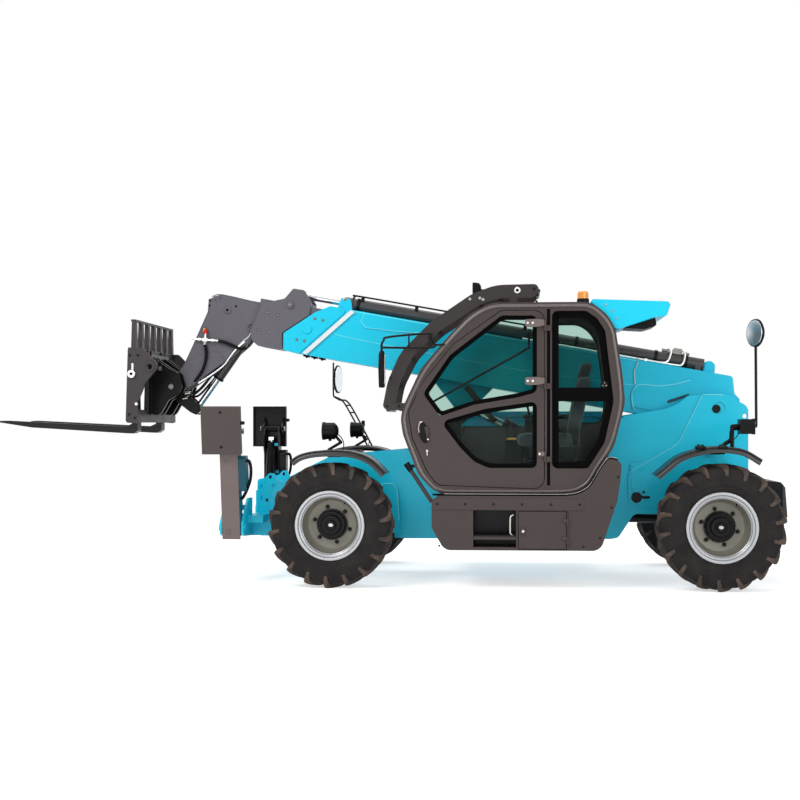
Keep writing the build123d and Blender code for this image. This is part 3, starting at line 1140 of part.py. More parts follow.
# ---------------------------------------------------------------- fenders, lamps and mirrors
# Front and rear fender outlines: outer curve, then the underside back.
FENDERS = {
    "front": [
        (-310, 990), (-306, 1018), (-150, 1078), (214, 1078), (350, 1010), (462, 920), (440, 900),
        (335, 988),
        (205, 1050), (-140, 1050),
    ],
    "rear": [
        (WHEELBASE - 504, 918), (WHEELBASE - 412, 938), (WHEELBASE - 240, 1062), (WHEELBASE - 110, 1125),
        (WHEELBASE + 177, 1125), (WHEELBASE + 306, 1027), (WHEELBASE + 290, 1008),
        (WHEELBASE + 168, 1106),
        (WHEELBASE - 100, 1090), (WHEELBASE - 236, 1046), (WHEELBASE - 418, 920), (WHEELBASE - 500, 895),
    ],
}
FENDER_Y = (820.0, 1150.0)
# Fender brackets: x low, x high, z low, z high, inner y.
BRACKETS = {
    "front": (-60, 120, 1040, 1062, PLATE_OUTER_Y),
    "rear": (WHEELBASE - 40, WHEELBASE + 140, 1090, 1116, DOUBLER_OUTER_Y),
}
with BuildPart() as fenders:
    for end, outline in FENDERS.items():
        x_low, x_high, z_low, z_high, inner_y = BRACKETS[end]
        for side in SIDES.values():
            slab(outline, side * FENDER_Y[0], side * FENDER_Y[1], soft=150)
            slab(
                [(x_low, z_low), (x_low, z_high), (x_high, z_high), (x_high, z_low)], side * inner_y,
                side * (FENDER_Y[0] + 40),
            )
save("fenders", fenders)

REAR_LAMP_X = WHEELBASE + 130.0
REAR_MIRROR_X = TAIL_X - 38.0
with BuildPart() as lamps:
    for side in SIDES.values():
        tube_path(
            [
                (-30, side * 950, 1078), (-30, side * 950, 1110), (70, side * 950, 1170),
                (0, side * 950, 1250),
            ],
            12,
        )
        bar((-70, side * 950, 1262), (20, side * 950, 1262), 68)
        # Rear lamp box on a bent bracket that stands on the fender.
        foot_x = REAR_LAMP_X - 30
        tube_path(
            [(foot_x, side * 950, 1125), (foot_x, side * 950, 1300),
            (REAR_LAMP_X + 40, side * 950, 1310)],
            16,
        )
        block((REAR_LAMP_X + 25, REAR_MIRROR_X - 14), (side * 860, side * 1000), (1240, 1358))
    bar((2040, -600, ROOF_Z), (2040, -600, ROOF_Z + 118), 42)
    block((1142, 1192), (-920, -820), (ROOF_Z + 90, ROOF_Z + 170))
    bar((1175, -870, ROOF_Z + 53.6), (1175, -870, ROOF_Z + 91), 8)
save("lamps", lamps)

with BuildPart() as mirrors:
    mirror_arm_z = ROOF_Z - 335
    # The cab mirror's arm is a loop of two rails with a post between them.
    tube_path([
        (915, CAB_OUTER_Y, mirror_arm_z), (915, CAB_OUTER_Y - 25, mirror_arm_z),
        (840, CAB_OUTER_Y - 50, mirror_arm_z), (805, -1140, mirror_arm_z + 86),
        (480, -1170, mirror_arm_z + 56), (424, -1172, mirror_arm_z + 10), (424, -1175, 1850),
    ], 9)
    tube_path(
        [
            (840, CAB_OUTER_Y - 50, mirror_arm_z), (805, -1140, mirror_arm_z - 28),
            (424, -1173, mirror_arm_z - 28),
        ],
        8,
    )
    bar((640, -1155, mirror_arm_z + 72), (640, -1155, mirror_arm_z - 28), 7)
    bar((805, -1140, mirror_arm_z + 86), (805, -1140, mirror_arm_z - 28), 7)
    block((412, 448), (-1205, -1145), (1610, 1900))
    # The front mirror's arm is two rods side by side with rungs between them.
    for rod_y in (1062, 1098):
        tube_path([(85, rod_y, 1078), (85, rod_y, 1120), (-125, rod_y, 1500), (-262, 1080, 1580)], 9)
    for rung_x, rung_z in ((43, 1196), (-20, 1310), (-125, 1500)):
        bar((rung_x, 1062, rung_z), (rung_x, 1098, rung_z), 8)
    tube_path([(-125, 1080, 1500), (-262, 1080, 1580), (-262, 1080, 1900)], 9)
    with BuildSketch(Plane(origin=(FRONT_AXLE_X - 200, 1090, 1745), z_dir=(1, 0.1, 0))) as right_glass:
        Ellipse(75, 135)
    extrude(right_glass.sketch, amount=-62)
    tube_path([(REAR_MIRROR_X, -DOUBLER_OUTER_Y, 1300), (REAR_MIRROR_X, -940, 1300),
    (REAR_MIRROR_X, -950, 2060)], 12)
    bar((REAR_MIRROR_X - 26, -950, 2043), (REAR_MIRROR_X + 14, -950, 2043), 112)
save("mirrors", mirrors)
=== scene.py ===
import json
import math

import bmesh
import bpy
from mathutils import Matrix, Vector


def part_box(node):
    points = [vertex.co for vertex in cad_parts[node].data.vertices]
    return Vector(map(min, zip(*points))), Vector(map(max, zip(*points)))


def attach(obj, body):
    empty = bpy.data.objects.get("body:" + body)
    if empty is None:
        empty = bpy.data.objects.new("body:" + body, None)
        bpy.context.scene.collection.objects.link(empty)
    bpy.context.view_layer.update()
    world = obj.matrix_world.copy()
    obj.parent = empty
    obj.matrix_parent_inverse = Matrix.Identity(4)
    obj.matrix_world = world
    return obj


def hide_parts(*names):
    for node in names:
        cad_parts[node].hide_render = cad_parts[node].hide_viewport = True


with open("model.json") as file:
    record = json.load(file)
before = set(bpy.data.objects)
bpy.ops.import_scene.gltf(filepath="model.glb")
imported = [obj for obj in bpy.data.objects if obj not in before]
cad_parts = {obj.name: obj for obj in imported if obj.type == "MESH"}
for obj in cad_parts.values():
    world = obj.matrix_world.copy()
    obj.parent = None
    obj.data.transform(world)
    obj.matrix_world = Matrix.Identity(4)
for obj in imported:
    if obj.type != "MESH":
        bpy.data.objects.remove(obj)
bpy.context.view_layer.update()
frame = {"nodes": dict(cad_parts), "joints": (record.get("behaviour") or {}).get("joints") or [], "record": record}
MM = 0.001
TAU = 2 * math.pi

# ---------------------------------------------------------------- places read from the frame
RIM_LOW, RIM_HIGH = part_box("rim_front_left")
REAR_RIM_LOW, REAR_RIM_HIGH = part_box("rim_rear_left")
AXLE_X = (RIM_LOW.x + RIM_HIGH.x) / 2
REAR_AXLE_X = (REAR_RIM_LOW.x + REAR_RIM_HIGH.x) / 2
AXLE_Z = (RIM_LOW.z + RIM_HIGH.z) / 2
WHEEL_Y = -(RIM_LOW.y + RIM_HIGH.y) / 2
JOINTS = {joint["name"]: joint for joint in frame["joints"]}
BOOM_PIVOT = Vector(JOINTS["boom_lift"]["pos_m"])
BOOM_DIRECTION = Vector(JOINTS["boom_mid_slide"]["axis"]).normalized()
BOOM_UP = Vector((BOOM_DIRECTION.z, 0, -BOOM_DIRECTION.x))
CAB_FAR_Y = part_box("cab_shell")[1].y
SIDES = {"left": -1, "right": 1}

# Edges sharper than this, in degrees, stay crisp unless a piece says otherwise.
CREASE = 32
# The share kept of the reflection that bare glass would have, lowered for a clear view.
PANE_REFLECTION = 0.08
# Strength of the white room as light; the camera, glass and mirrors see it at 1.
ROOM_GLOW = 0.55
# How much the floor is lifted towards white where the camera, glass and mirrors see it.
FLOOR_GLOW = 0.55


def at(x, y, z):
    """A point in millimetres, x measured back from the front axle."""
    return Vector((AXLE_X + x * MM, y * MM, z * MM))


def places(points):
    """The same for a row of points."""
    return [at(*point) for point in points]


def boom_at(u, v, y=0.0):
    """A point u along and v above the boom's pivot, in millimetres, at rest."""
    point = BOOM_PIVOT + BOOM_DIRECTION * (u * MM) + BOOM_UP * (v * MM)
    point.y = y * MM
    return point


# ---------------------------------------------------------------- materials
def linear(rgb):
    """An sRGB colour, 0 to 255, as linear values."""
    values = [c / 255 for c in rgb]
    return [c / 12.92 if c <= 0.04045 else ((c + 0.055) / 1.055) ** 2.4 for c in values] + [1.0]


class Nodes:
    """A small builder for one material's node tree."""

    def __init__(self, name):
        """An empty tree with one shader joined to its output."""
        self.material = bpy.data.materials.new(name)
        self.material.use_nodes = True
        self.tree = self.material.node_tree
        self.tree.nodes.clear()
        self.output = self.tree.nodes.new("ShaderNodeOutputMaterial")
        self.shader = self.tree.nodes.new("ShaderNodeBsdfPrincipled")
        self.link(self.shader, "BSDF", self.output, "Surface")

    def new(self, kind, **sockets):
        """A node with its input values."""
        node = self.tree.nodes.new(kind)
        for name, value in sockets.items():
            node.inputs[name.replace("_", " ")].default_value = value
        return node

    def link(self, a, out, b, into):
        """Joins one node's output to another's input."""
        self.tree.links.new(a.outputs[out], b.inputs[into])

    def noise(self, scale, detail=4.0, roughness=0.6):
        """A cloud pattern that stays with the piece."""
        coords = self.tree.nodes.new("ShaderNodeTexCoord")
        node = self.new("ShaderNodeTexNoise", Scale=scale, Detail=detail, Roughness=roughness)
        self.link(coords, "Object", node, "Vector")
        return node

    def ramp(self, source, out, stops):
        """Turns a value into a colour by (place, colour) stops."""
        node = self.tree.nodes.new("ShaderNodeValToRGB")
        ramp = node.color_ramp
        for index, (place, colour) in enumerate(stops):
            element = ramp.elements[index] if index < 2 else ramp.elements.new(place)
            element.position = place
            element.color = colour
        self.link(source, out, node, "Fac")
        return node

    def bump(self, source, out, strength, distance, soft_edge=0.0):
        """Relief from a pattern, with the edges softened if a radius is given."""
        node = self.new("ShaderNodeBump", Strength=strength, Distance=distance)
        self.link(source, out, node, "Height")
        if soft_edge:
            bevel = self.new("ShaderNodeBevel", Radius=soft_edge)
            bevel.samples = 4
            self.link(bevel, "Normal", node, "Normal")
        self.link(node, "Normal", self.shader, "Normal")


def shade(colour, amount):
    """A colour made lighter or darker by a factor."""
    return [min(1.0, c * amount) for c in colour[:3]] + [1.0]


def paint(name, rgb, roughness=0.35, coat=0.35, metallic=0.0, spread=0.06, grain=0.12, specular=0.2):
    """Sprayed or powder-coated metal: slight colour drift, orange peel and soft edges."""
    n = Nodes(name)
    base = linear(rgb)
    drift = n.noise(3.0, 5.0)
    colour = n.ramp(drift, "Fac", [(0.3, shade(base, 1 - spread)), (0.7, shade(base, 1 + spread))])
    n.link(colour, "Color", n.shader, "Base Color")
    n.shader.inputs["Specular IOR Level"].default_value = specular
    n.shader.inputs["Metallic"].default_value = metallic
    n.shader.inputs["Coat Weight"].default_value = coat
    n.shader.inputs["Coat Roughness"].default_value = 0.12
    rough_noise = n.noise(9.0, 4.0)
    rough = n.ramp(
        rough_noise, "Fac",
        [(0.3, [roughness * 0.85] * 3 + [1]), (0.75, [min(1, roughness * 1.2)] * 3 + [1])],
    )
    n.link(rough, "Color", n.shader, "Roughness")
    peel = n.noise(420.0, 2.0)
    n.bump(peel, "Fac", grain, 0.0006, soft_edge=0.004)
    return n.material


def rubber(name, rgb, dust_rgb, roughness=0.75):
    """Tyre rubber: dark, matt, with dusty brown on the worn patches and a fine grain. For the bars the colours are
    raised, which is dust together with painted light.
    """
    n = Nodes(name)
    base = linear(rgb)
    patches = n.noise(7.0, 8.0, 0.65)
    colour = n.ramp(patches, "Fac", [(0.35, base), (0.72, linear(dust_rgb))])
    n.link(colour, "Color", n.shader, "Base Color")
    n.shader.inputs["Roughness"].default_value = roughness
    n.shader.inputs["Specular IOR Level"].default_value = 0.15
    grain = n.noise(260.0, 5.0)
    n.bump(grain, "Fac", 0.25, 0.001, soft_edge=0.003)
    return n.material


def plastic(name, rgb, roughness=0.5, grain=0.2, specular=0.1):
    """Moulded plastic with a fine grain."""
    n = Nodes(name)
    base = linear(rgb)
    drift = n.noise(6.0)
    colour = n.ramp(drift, "Fac", [(0.3, shade(base, 0.85)), (0.7, shade(base, 1.15))])
    n.link(colour, "Color", n.shader, "Base Color")
    n.shader.inputs["Roughness"].default_value = roughness
    n.shader.inputs["Specular IOR Level"].default_value = specular
    texture = n.noise(600.0, 3.0)
    n.bump(texture, "Fac", grain, 0.0005, soft_edge=0.002)
    return n.material


def polished(name, rgb, roughness=0.12):
    """Chromed or machined steel with faint turning marks."""
    n = Nodes(name)
    base = linear(rgb)
    drift = n.noise(30.0, 3.0)
    colour = n.ramp(drift, "Fac", [(0.3, shade(base, 0.92)), (0.7, base)])
    n.link(colour, "Color", n.shader, "Base Color")
    n.shader.inputs["Metallic"].default_value = 1.0
    n.shader.inputs["Roughness"].default_value = roughness
    marks = n.noise(300.0, 2.0)
    n.bump(marks, "Fac", 0.04, 0.0003)
    return n.material


def pane(name, rgb, density):
    """Tinted window glass: a clear sheet with a mirror reflection that grows at a slant."""
    n = Nodes(name)
    clear = n.new("ShaderNodeBsdfTransparent")
    tint = linear(rgb)
    streak = n.noise(2.0, 2.0)
    colour = n.ramp(
        streak, "Fac",
        [
            (0.3, [1 - density * (1 - c) for c in tint[:3]] + [1]),
            (0.7, [1 - density * 0.94 * (1 - c) for c in tint[:3]] + [1]),
        ],
    )
    n.link(colour, "Color", clear, "Color")
    n.shader.inputs["Base Color"].default_value = (0.8, 0.85, 0.85, 1)
    n.shader.inputs["Metallic"].default_value = 1.0
    n.shader.inputs["Roughness"].default_value = 0.03
    edge = n.new("ShaderNodeFresnel", IOR=1.45)
    faint = n.tree.nodes.new("ShaderNodeMath")
    faint.operation = "MULTIPLY"
    faint.inputs[1].default_value = PANE_REFLECTION
    n.link(edge, "Fac", faint, 0)
    mix = n.tree.nodes.new("ShaderNodeMixShader")
    n.link(faint, "Value", mix, "Fac")
    n.tree.links.new(clear.outputs["BSDF"], mix.inputs[1])
    n.tree.links.new(n.shader.outputs["BSDF"], mix.inputs[2])
    n.tree.links.new(mix.outputs["Shader"], n.output.inputs["Surface"])
    return n.material


def glowing(name, rgb, roughness=0.25):
    """Coloured lens plastic: bright, smooth and lightly ribbed."""
    n = Nodes(name)
    base = linear(rgb)
    drift = n.noise(40.0)
    colour = n.ramp(drift, "Fac", [(0.3, shade(base, 0.85)), (0.7, shade(base, 1.1))])
    n.link(colour, "Color", n.shader, "Base Color")
    n.shader.inputs["Roughness"].default_value = roughness
    n.shader.inputs["Coat Weight"].default_value = 0.8
    ribs = n.tree.nodes.new("ShaderNodeTexWave")
    ribs.inputs["Scale"].default_value = 60.0
    coords = n.tree.nodes.new("ShaderNodeTexCoord")
    n.link(coords, "Object", ribs, "Vector")
    n.bump(ribs, "Fac", 0.3, 0.001)
    return n.material


def weave(name, rgb):
    """Cloth for the cushions: a fine over-and-under weave."""
    n = Nodes(name)
    base = linear(rgb)
    coords = n.tree.nodes.new("ShaderNodeTexCoord")
    across = n.new("ShaderNodeTexWave", Scale=220.0, Distortion=1.0)
    along = n.new("ShaderNodeTexWave", Scale=220.0, Distortion=1.0)
    along.bands_direction = "Y"
    n.link(coords, "Object", across, "Vector")
    n.link(coords, "Object", along, "Vector")
    mix = n.tree.nodes.new("ShaderNodeMath")
    mix.operation = "MULTIPLY"
    n.tree.links.new(across.outputs["Fac"], mix.inputs[0])
    n.tree.links.new(along.outputs["Fac"], mix.inputs[1])
    colour = n.ramp(mix, "Value", [(0.0, shade(base, 0.7)), (1.0, shade(base, 1.3))])
    n.link(colour, "Color", n.shader, "Base Color")
    n.shader.inputs["Roughness"].default_value = 0.9
    n.shader.inputs["Sheen Weight"].default_value = 0.3
    n.bump(mix, "Value", 0.3, 0.001)
    return n.material


TEAL = paint("teal_paint", (14, 192, 222), roughness=0.36, coat=0.12, spread=0.02)
# A lighter teal for thin lines along welds and plate edges: painted highlight.
TEAL_HIGHLIGHT = paint("teal_painted_highlight", (110, 222, 238), roughness=0.36, coat=0.12, spread=0.02)
# A dark teal for the boom's slots and the near leg's rear face: painted shade on teal paint.
TEAL_SHADE = paint("teal_painted_shade", (6, 66, 82), roughness=0.4, coat=0.1, spread=0.04)
DARK = paint("dark_powder_coat", (61, 52, 51), roughness=0.42, coat=0.06, spread=0.05, grain=0.3)
GREY = paint("grey_powder_coat", (91, 88, 95), roughness=0.45, coat=0.05, spread=0.06, grain=0.3)
LEG_GREY = paint("warm_grey_coat", (105, 94, 92), roughness=0.5, coat=0.05, spread=0.05, grain=0.3)
PAD_GREY = paint("pad_coat", (70, 62, 60), roughness=0.5, coat=0.05, spread=0.05, grain=0.3)
CARRIAGE = paint("carriage_coat", (58, 53, 54), roughness=0.45, coat=0.06, spread=0.08, grain=0.35)
BLACK = paint(
    "black_paint", (13, 12, 14), roughness=0.3, coat=0.05, spread=0.15, grain=0.2, specular=0.12,
)
FORK_STEEL = paint("fork_black", (24, 23, 24), roughness=0.42, coat=0.05, spread=0.2, grain=0.4)
RIM_SILVER = paint("rim_silver", (176, 173, 170), roughness=0.33, coat=0.2, metallic=0.35, spread=0.05)
TYRE = rubber("tyre_rubber", (25, 23, 24), (42, 38, 37))
# The bars' rubber is a lighter, browner copy of the casing's: dust on the tread, and painted light where the bars
# catch the light.
LUG_DUST_AND_LIGHT = rubber("lug_rubber_dust_and_painted_light", (48, 43, 41), (98, 84, 75))
SEAL = plastic("rubber_seal", (4, 4, 5), roughness=0.5, specular=0.03)
PLASTIC = plastic("black_plastic", (14, 14, 15), roughness=0.34)
DASH = plastic("dash_plastic", (34, 36, 32), roughness=0.6)
FENDER_BLACK = plastic("fender_plastic", (16, 16, 18), roughness=0.32, specular=0.5)
HOSE = plastic("hose_rubber", (10, 10, 11), roughness=0.4, grain=0.4)
CHROME = polished("rod_chrome", (215, 215, 220), roughness=0.1)
ZINC = polished("zinc_plated", (175, 172, 165), roughness=0.3)
MIRROR = polished("mirror_glass", (236, 240, 244), roughness=0.28)
GLASS = pane("tinted_glass", (40, 172, 144), 0.22)
BEACON = glowing("amber_lens", (250, 150, 25))
RED_LENS = glowing("red_lens", (190, 24, 20))
CLEAR_LENS = glowing("clear_lens", (220, 222, 225), roughness=0.1)
WHITE_METAL = polished("bright_zinc", (225, 225, 222), roughness=0.35)
BOLT_GREY = polished("bolt_steel", (120, 118, 114), roughness=0.4)
# White for the bright line on the collar's bevel and the head's polished rear edge: painted highlight.
WHITE_HIGHLIGHT = paint("white_painted_highlight", (214, 218, 220), roughness=0.4, coat=0.2, spread=0.04)
BARREL_GREY = paint("barrel_grey", (62, 57, 58), roughness=0.35, coat=0.3, spread=0.08)
RIM_BRIGHT = paint("rim_bright", (166, 167, 170), roughness=0.3, coat=0.1, metallic=0.5, spread=0.04)
RIM_DISH = paint("rim_dish", (126, 123, 113), roughness=0.45, coat=0.05, metallic=0.2, spread=0.08)
# The cab's dark paint made lighter for the round frame tube: painted highlight along the rounded edge.
FRAME_TUBE_HIGHLIGHT = paint("frame_tube_painted_highlight", (86, 77, 75), roughness=0.28, coat=0.3, spread=0.04, specular=0.5)
GUARD_COAT = paint("guard_coat", (44, 38, 38), roughness=0.42, coat=0.15, spread=0.05, grain=0.3)
YELLOW = plastic("yellow_plastic", (225, 190, 40), roughness=0.4)
RED = plastic("red_plastic", (190, 40, 34), roughness=0.4)
CLOTH = weave("seat_cloth", (44, 44, 48))
# The finish of each material slot, and of the nodes that differ from their slot's.
FINISH = {
    "teal_paint": TEAL, "dark_paint": DARK, "grey_paint": GREY, "tyre_rubber": TYRE,
    "rim_paint": RIM_SILVER, "glass_tint": GLASS, "rod_chrome": CHROME, "black_metal": BLACK,
    "black_plastic": PLASTIC, "seat_fabric": CLOTH,
}
NODE_FINISH = {
    "fork_carriage": CARRIAGE, "coupler": BLACK, "forks": FORK_STEEL, "front_guard": GUARD_COAT,
    "stabiliser_leg_left": LEG_GREY, "stabiliser_leg_right": BLACK, "console": DASH,
    "counterweight": DARK, "stabiliser_pad_left": PAD_GREY, "stabiliser_pad_right": BLACK,
    "extension_barrel": BARREL_GREY, "tilt_barrel": BARREL_GREY,
}


def smooth(obj, angle=CREASE):
    """Rounds the shading of shallow edges and keeps the rest crisp."""
    for face in obj.data.polygons:
        face.use_smooth = True
    obj.data.set_sharp_from_angle(angle=math.radians(angle))


def smooth_node(obj, angle=CREASE):
    """The same for a carried-over node, whose faces come with their own corners."""
    if "custom_normal" in obj.data.attributes:
        obj.data.attributes.remove(obj.data.attributes["custom_normal"])
    for face in obj.data.polygons:
        face.use_smooth = True
    weld = obj.modifiers.new("weld", "WELD")
    weld.merge_threshold = 1e-5
    split = obj.modifiers.new("crisp", "EDGE_SPLIT")
    split.split_angle = math.radians(angle)


def give(obj, material):
    """The one material of a piece."""
    obj.data.materials.clear()
    obj.data.materials.append(material)


SLOT_OF = {entry["node"]: entry["material_slot"] for entry in frame["record"]["subparts"]}
for node_name, node in frame["nodes"].items():
    give(node, NODE_FINISH.get(node_name, FINISH[SLOT_OF[node_name]]))
    smooth_node(node)


# ---------------------------------------------------------------- making pieces
def finish_piece(name, mesh, body, material, angle=CREASE):
    """Puts a made mesh into the scene on its body."""
    obj = bpy.data.objects.new(name, mesh)
    bpy.context.scene.collection.objects.link(obj)
    give(obj, material)
    smooth(obj, angle)
    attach(obj, body)
    return obj


class Shape:
    """Collects simple closed forms into one joined mesh."""

    def __init__(self):
        """An empty mesh to collect into."""
        self.bm = bmesh.new()

    def ring_loft(self, rings, closed_loop=False):
        """Quads between rings of points; the ends are capped, or joined in a closed loop."""
        bm = self.bm
        loops = [[bm.verts.new(p) for p in ring] for ring in rings]
        pairs = list(zip(loops, loops[1:]))
        if closed_loop:
            pairs.append((loops[-1], loops[0]))
        for low, high in pairs:
            count = len(low)
            for i in range(count):
                j = (i + 1) % count
                bm.faces.new((low[i], low[j], high[j], high[i]))
        if not closed_loop:
            bm.faces.new(list(reversed(loops[0])))
            bm.faces.new(loops[-1])
        return self

    def cylinder(self, start, end, radius, sides=24, radius_end=None):
        """A round bar between two points, or a cone if its end has another radius."""
        start = Vector(start)
        end = Vector(end)
        axis = (end - start).normalized()
        side = axis.orthogonal().normalized()
        other = axis.cross(side)
        radius_end = radius if radius_end is None else radius_end
        rings = []
        for centre, r in ((start, radius), (end, radius_end)):
            ring = []
            for i in range(sides):
                turn = TAU * i / sides
                ring.append(centre + (side * math.cos(turn) + other * math.sin(turn)) * r)
            rings.append(ring)
        return self.ring_loft(rings)

    def hexagon(self, start, axis, across, height):
        """A hexagonal bar, given its width across the flats."""
        axis = Vector(axis).normalized()
        return self.cylinder(
            start, Vector(start) + axis * height, across / 2 / math.cos(math.pi / 6), sides=6,
        )

    def bolt(self, foot, axis, size=0.018):
        """A hexagon head on a washer, standing on its foot."""
        axis = Vector(axis).normalized()
        self.cylinder(foot, Vector(foot) + axis * size * 0.16, size * 0.95, sides=18)
        return self.hexagon(Vector(foot) + axis * size * 0.16, axis, size * 1.5, size * 0.6)

    def block(self, low, high, bevel=0.0):
        """A box between two corners, with cut edges if a bevel is given."""
        low = Vector(low)
        high = Vector(high)
        x0, y0, z0 = (min(a, b) for a, b in zip(low, high))
        x1, y1, z1 = (max(a, b) for a, b in zip(low, high))
        b = min(bevel, (x1 - x0) / 2.5, (y1 - y0) / 2.5, (z1 - z0) / 2.5)
        if b <= 0:
            ring = [(x0, y0), (x1, y0), (x1, y1), (x0, y1)]
            return self.ring_loft([[Vector((x, y, z)) for x, y in ring] for z in (z0, z1)])
        rings = []
        for z, inset in ((z0, b), (z0 + b, 0), (z1 - b, 0), (z1, b)):
            xa, xb, ya, yb = x0 + inset, x1 - inset, y0 + inset, y1 - inset
            corners = (
                (xa + b, ya), (xb - b, ya), (xb, ya + b), (xb, yb - b), (xb - b, yb), (xa + b, yb),
                (xa, yb - b), (xa, ya + b),
            )
            rings.append([Vector(corner + (z,)) for corner in corners])
        return self.ring_loft(rings)

    def plate(self, outline, offset):
        """An outline of points given thickness by an offset."""
        offset = Vector(offset)
        ring = [Vector(p) for p in outline]
        return self.ring_loft([ring, [p + offset for p in ring]])

    def revolve(self, profile, centre, axis, steps=96):
        """A closed profile of (along the axis, radius) turned about an axis."""
        centre = Vector(centre)
        axis = Vector(axis).normalized()
        side = axis.orthogonal().normalized()
        other = axis.cross(side)
        rings = []
        for i in range(steps):
            turn = TAU * i / steps
            out = side * math.cos(turn) + other * math.sin(turn)
            rings.append([centre + axis * a + out * r for a, r in profile])
        bm = self.bm
        loops = [[bm.verts.new(p) for p in ring] for ring in rings]
        count = len(profile)
        for i in range(steps):
            low = loops[i]
            high = loops[(i + 1) % steps]
            for k in range(count):
                m = (k + 1) % count
                bm.faces.new((low[k], low[m], high[m], high[k]))
        return self

    def pipe(self, points, radius, sides=12, bend=8):
        """A round pipe along points, with its corners rounded by a smooth line."""
        line = smooth_line(points, bend)
        rings = []
        side = None
        for i, p in enumerate(line):
            ahead = line[min(i + 1, len(line) - 1)] - line[max(i - 1, 0)]
            ahead.normalize()
            if side is None:
                side = ahead.orthogonal().normalized()
            side = (side - ahead * side.dot(ahead)).normalized()
            other = ahead.cross(side)
            rings.append(
                [
                    p + (side * math.cos(TAU * k / sides) + other * math.sin(TAU * k / sides)) * radius
                    for k in range(sides)
                ],
            )
        return self.ring_loft(rings)

    def mesh(self, name):
        """The finished mesh, its faces turned outwards."""
        bmesh.ops.remove_doubles(self.bm, verts=self.bm.verts, dist=1e-7)
        bmesh.ops.recalc_face_normals(self.bm, faces=self.bm.faces)
        mesh = bpy.data.meshes.new(name)
        self.bm.to_mesh(mesh)
        self.bm.free()
        return mesh

    def piece(self, name, body, slot, material, angle=CREASE):
        """The finished mesh as a piece of the scene."""
        return finish_piece(name, self.mesh(name), body, material, angle)


def smooth_line(points, steps):
    """A Catmull-Rom line through the points."""
    points = [Vector(p) for p in points]
    if len(points) < 3 or steps < 2:
        return points
    padded = [points[0] * 2 - points[1]] + points + [points[-1] * 2 - points[-2]]
    line = []
    for a, b, c, d in zip(padded, padded[1:], padded[2:], padded[3:]):
        for k in range(steps):
            t = k / steps
            square = (2 * a - 5 * b + 4 * c - d) * t * t
            cube = (3 * b - a - 3 * c + d) * t ** 3
            line.append(0.5 * (2 * b + (c - a) * t + square + cube))
    line.append(points[-1])
    return line


# ---------------------------------------------------------------- wheels
# Half of the tyre's section, from its bead to the middle of its tread: (across, radius).
TYRE_SECTION = [
    (-128, 259), (-134, 262), (-139, 281), (-143, 284), (-149, 300), (-153, 303), (-155, 308),
    (-154, 313), (-158, 335), (-161, 338), (-163, 344), (-162, 350), (-163.5, 385), (-161, 420),
    (-152, 448), (-140, 470), (-100, 481), (-50, 484), (0, 485),
]
# Along each bar: distance from the middle plane, foot radius, top radius, turn in degrees, half width.
LUG_BAR = [
    (-16, 476, 500, -9.4, 16), (20, 478, 503, -6.8, 18), (60, 477, 503.5, -3.6, 19),
    (100, 474, 503.5, -0.6, 18), (132, 466, 502, 1.7, 14), (152, 452, 499, 3.1, 12),
    (164, 434, 488, 3.9, 10), (165, 402, 434, 4.1, 9),
]
LUG_CHAMFER = 5
LUG_COUNT = 18


def tyre_casing(centre):
    """The rounded carcass of a tyre, with the rings moulded on its walls."""
    profile = TYRE_SECTION + [(-a, r) for a, r in reversed(TYRE_SECTION[:-1])]
    return Shape().revolve([(a * MM, r * MM) for a, r in profile], centre, (0, 1, 0), steps=150)


def tyre_bars(centre):
    """The chevron bars of a tyre, bevelled along their tops and running down the shoulder."""
    shape = Shape()
    for half in (-1, 1):
        for count in range(LUG_COUNT):
            middle = TAU / LUG_COUNT * (count + (0.5 if half > 0 else 0.0))
            rings = []
            for across, foot, top, lean, half_width in LUG_BAR:
                turn = middle + math.radians(lean)
                out = Vector((math.sin(turn), 0, math.cos(turn)))
                along = Vector((math.cos(turn), 0, -math.sin(turn)))
                y = Vector((0, half * across * MM, 0))
                flat = half_width - LUG_CHAMFER
                edge = top - LUG_CHAMFER
                section = [
                    (-half_width - 6, foot), (-half_width, edge), (-flat, top), (flat, top),
                    (half_width, edge), (half_width + 6, foot),
                ]
                # The lowest step, down on the tyre's wall, is drawn in a little.
                if top - foot < 34:
                    section = [(s * 0.96, r) for s, r in section]
                rings.append([centre + y + out * (r * MM) + along * (s * MM) for s, r in section])
            shape.ring_loft(rings)
    return shape


# Sections of the wheel's turned parts: (outboard, radius).
FLANGE_PROFILE = [
    (100, 226), (112, 227), (116, 233), (130, 236), (134, 242), (134, 250), (142, 254), (149, 260),
    (151, 268), (149, 279), (144, 281.5), (138, 281), (131, 262), (126, 257.5), (100, 247),
]
DISH_PROFILE = [
    (100, 247), (60, 238), (-60, 238), (-126, 257.5), (-131, 262), (-138, 281), (-150, 280),
    (-150, 262), (-128, 245), (-52, 232), (-50, 200), (-50, 60.2), (-28, 60.2), (-28, 172), (-22, 194),
    (-4, 211), (24, 220), (60, 224), (100, 226),
]
HUB_PROFILE = [
    (-27, 62), (-27, 122), (-8, 122), (-8, 110), (22, 110), (26, 106), (26, 94), (20, 92), (20, 80),
    (46, 76), (50, 72), (50, 52), (40, 50), (40, 38), (66, 36), (70, 32), (70, 0.5), (26, 0.5),
    (26, 62),
]
HUB_TEETH = 40
HUB_BOLTS = 12
WHEEL_NUTS = 6


def turned(profile, side, centre, steps):
    """A wheel part turned about the axle from (outboard, radius) points."""
    return Shape().revolve([(side * a * MM, r * MM) for a, r in profile], centre, (0, 1, 0), steps=steps)


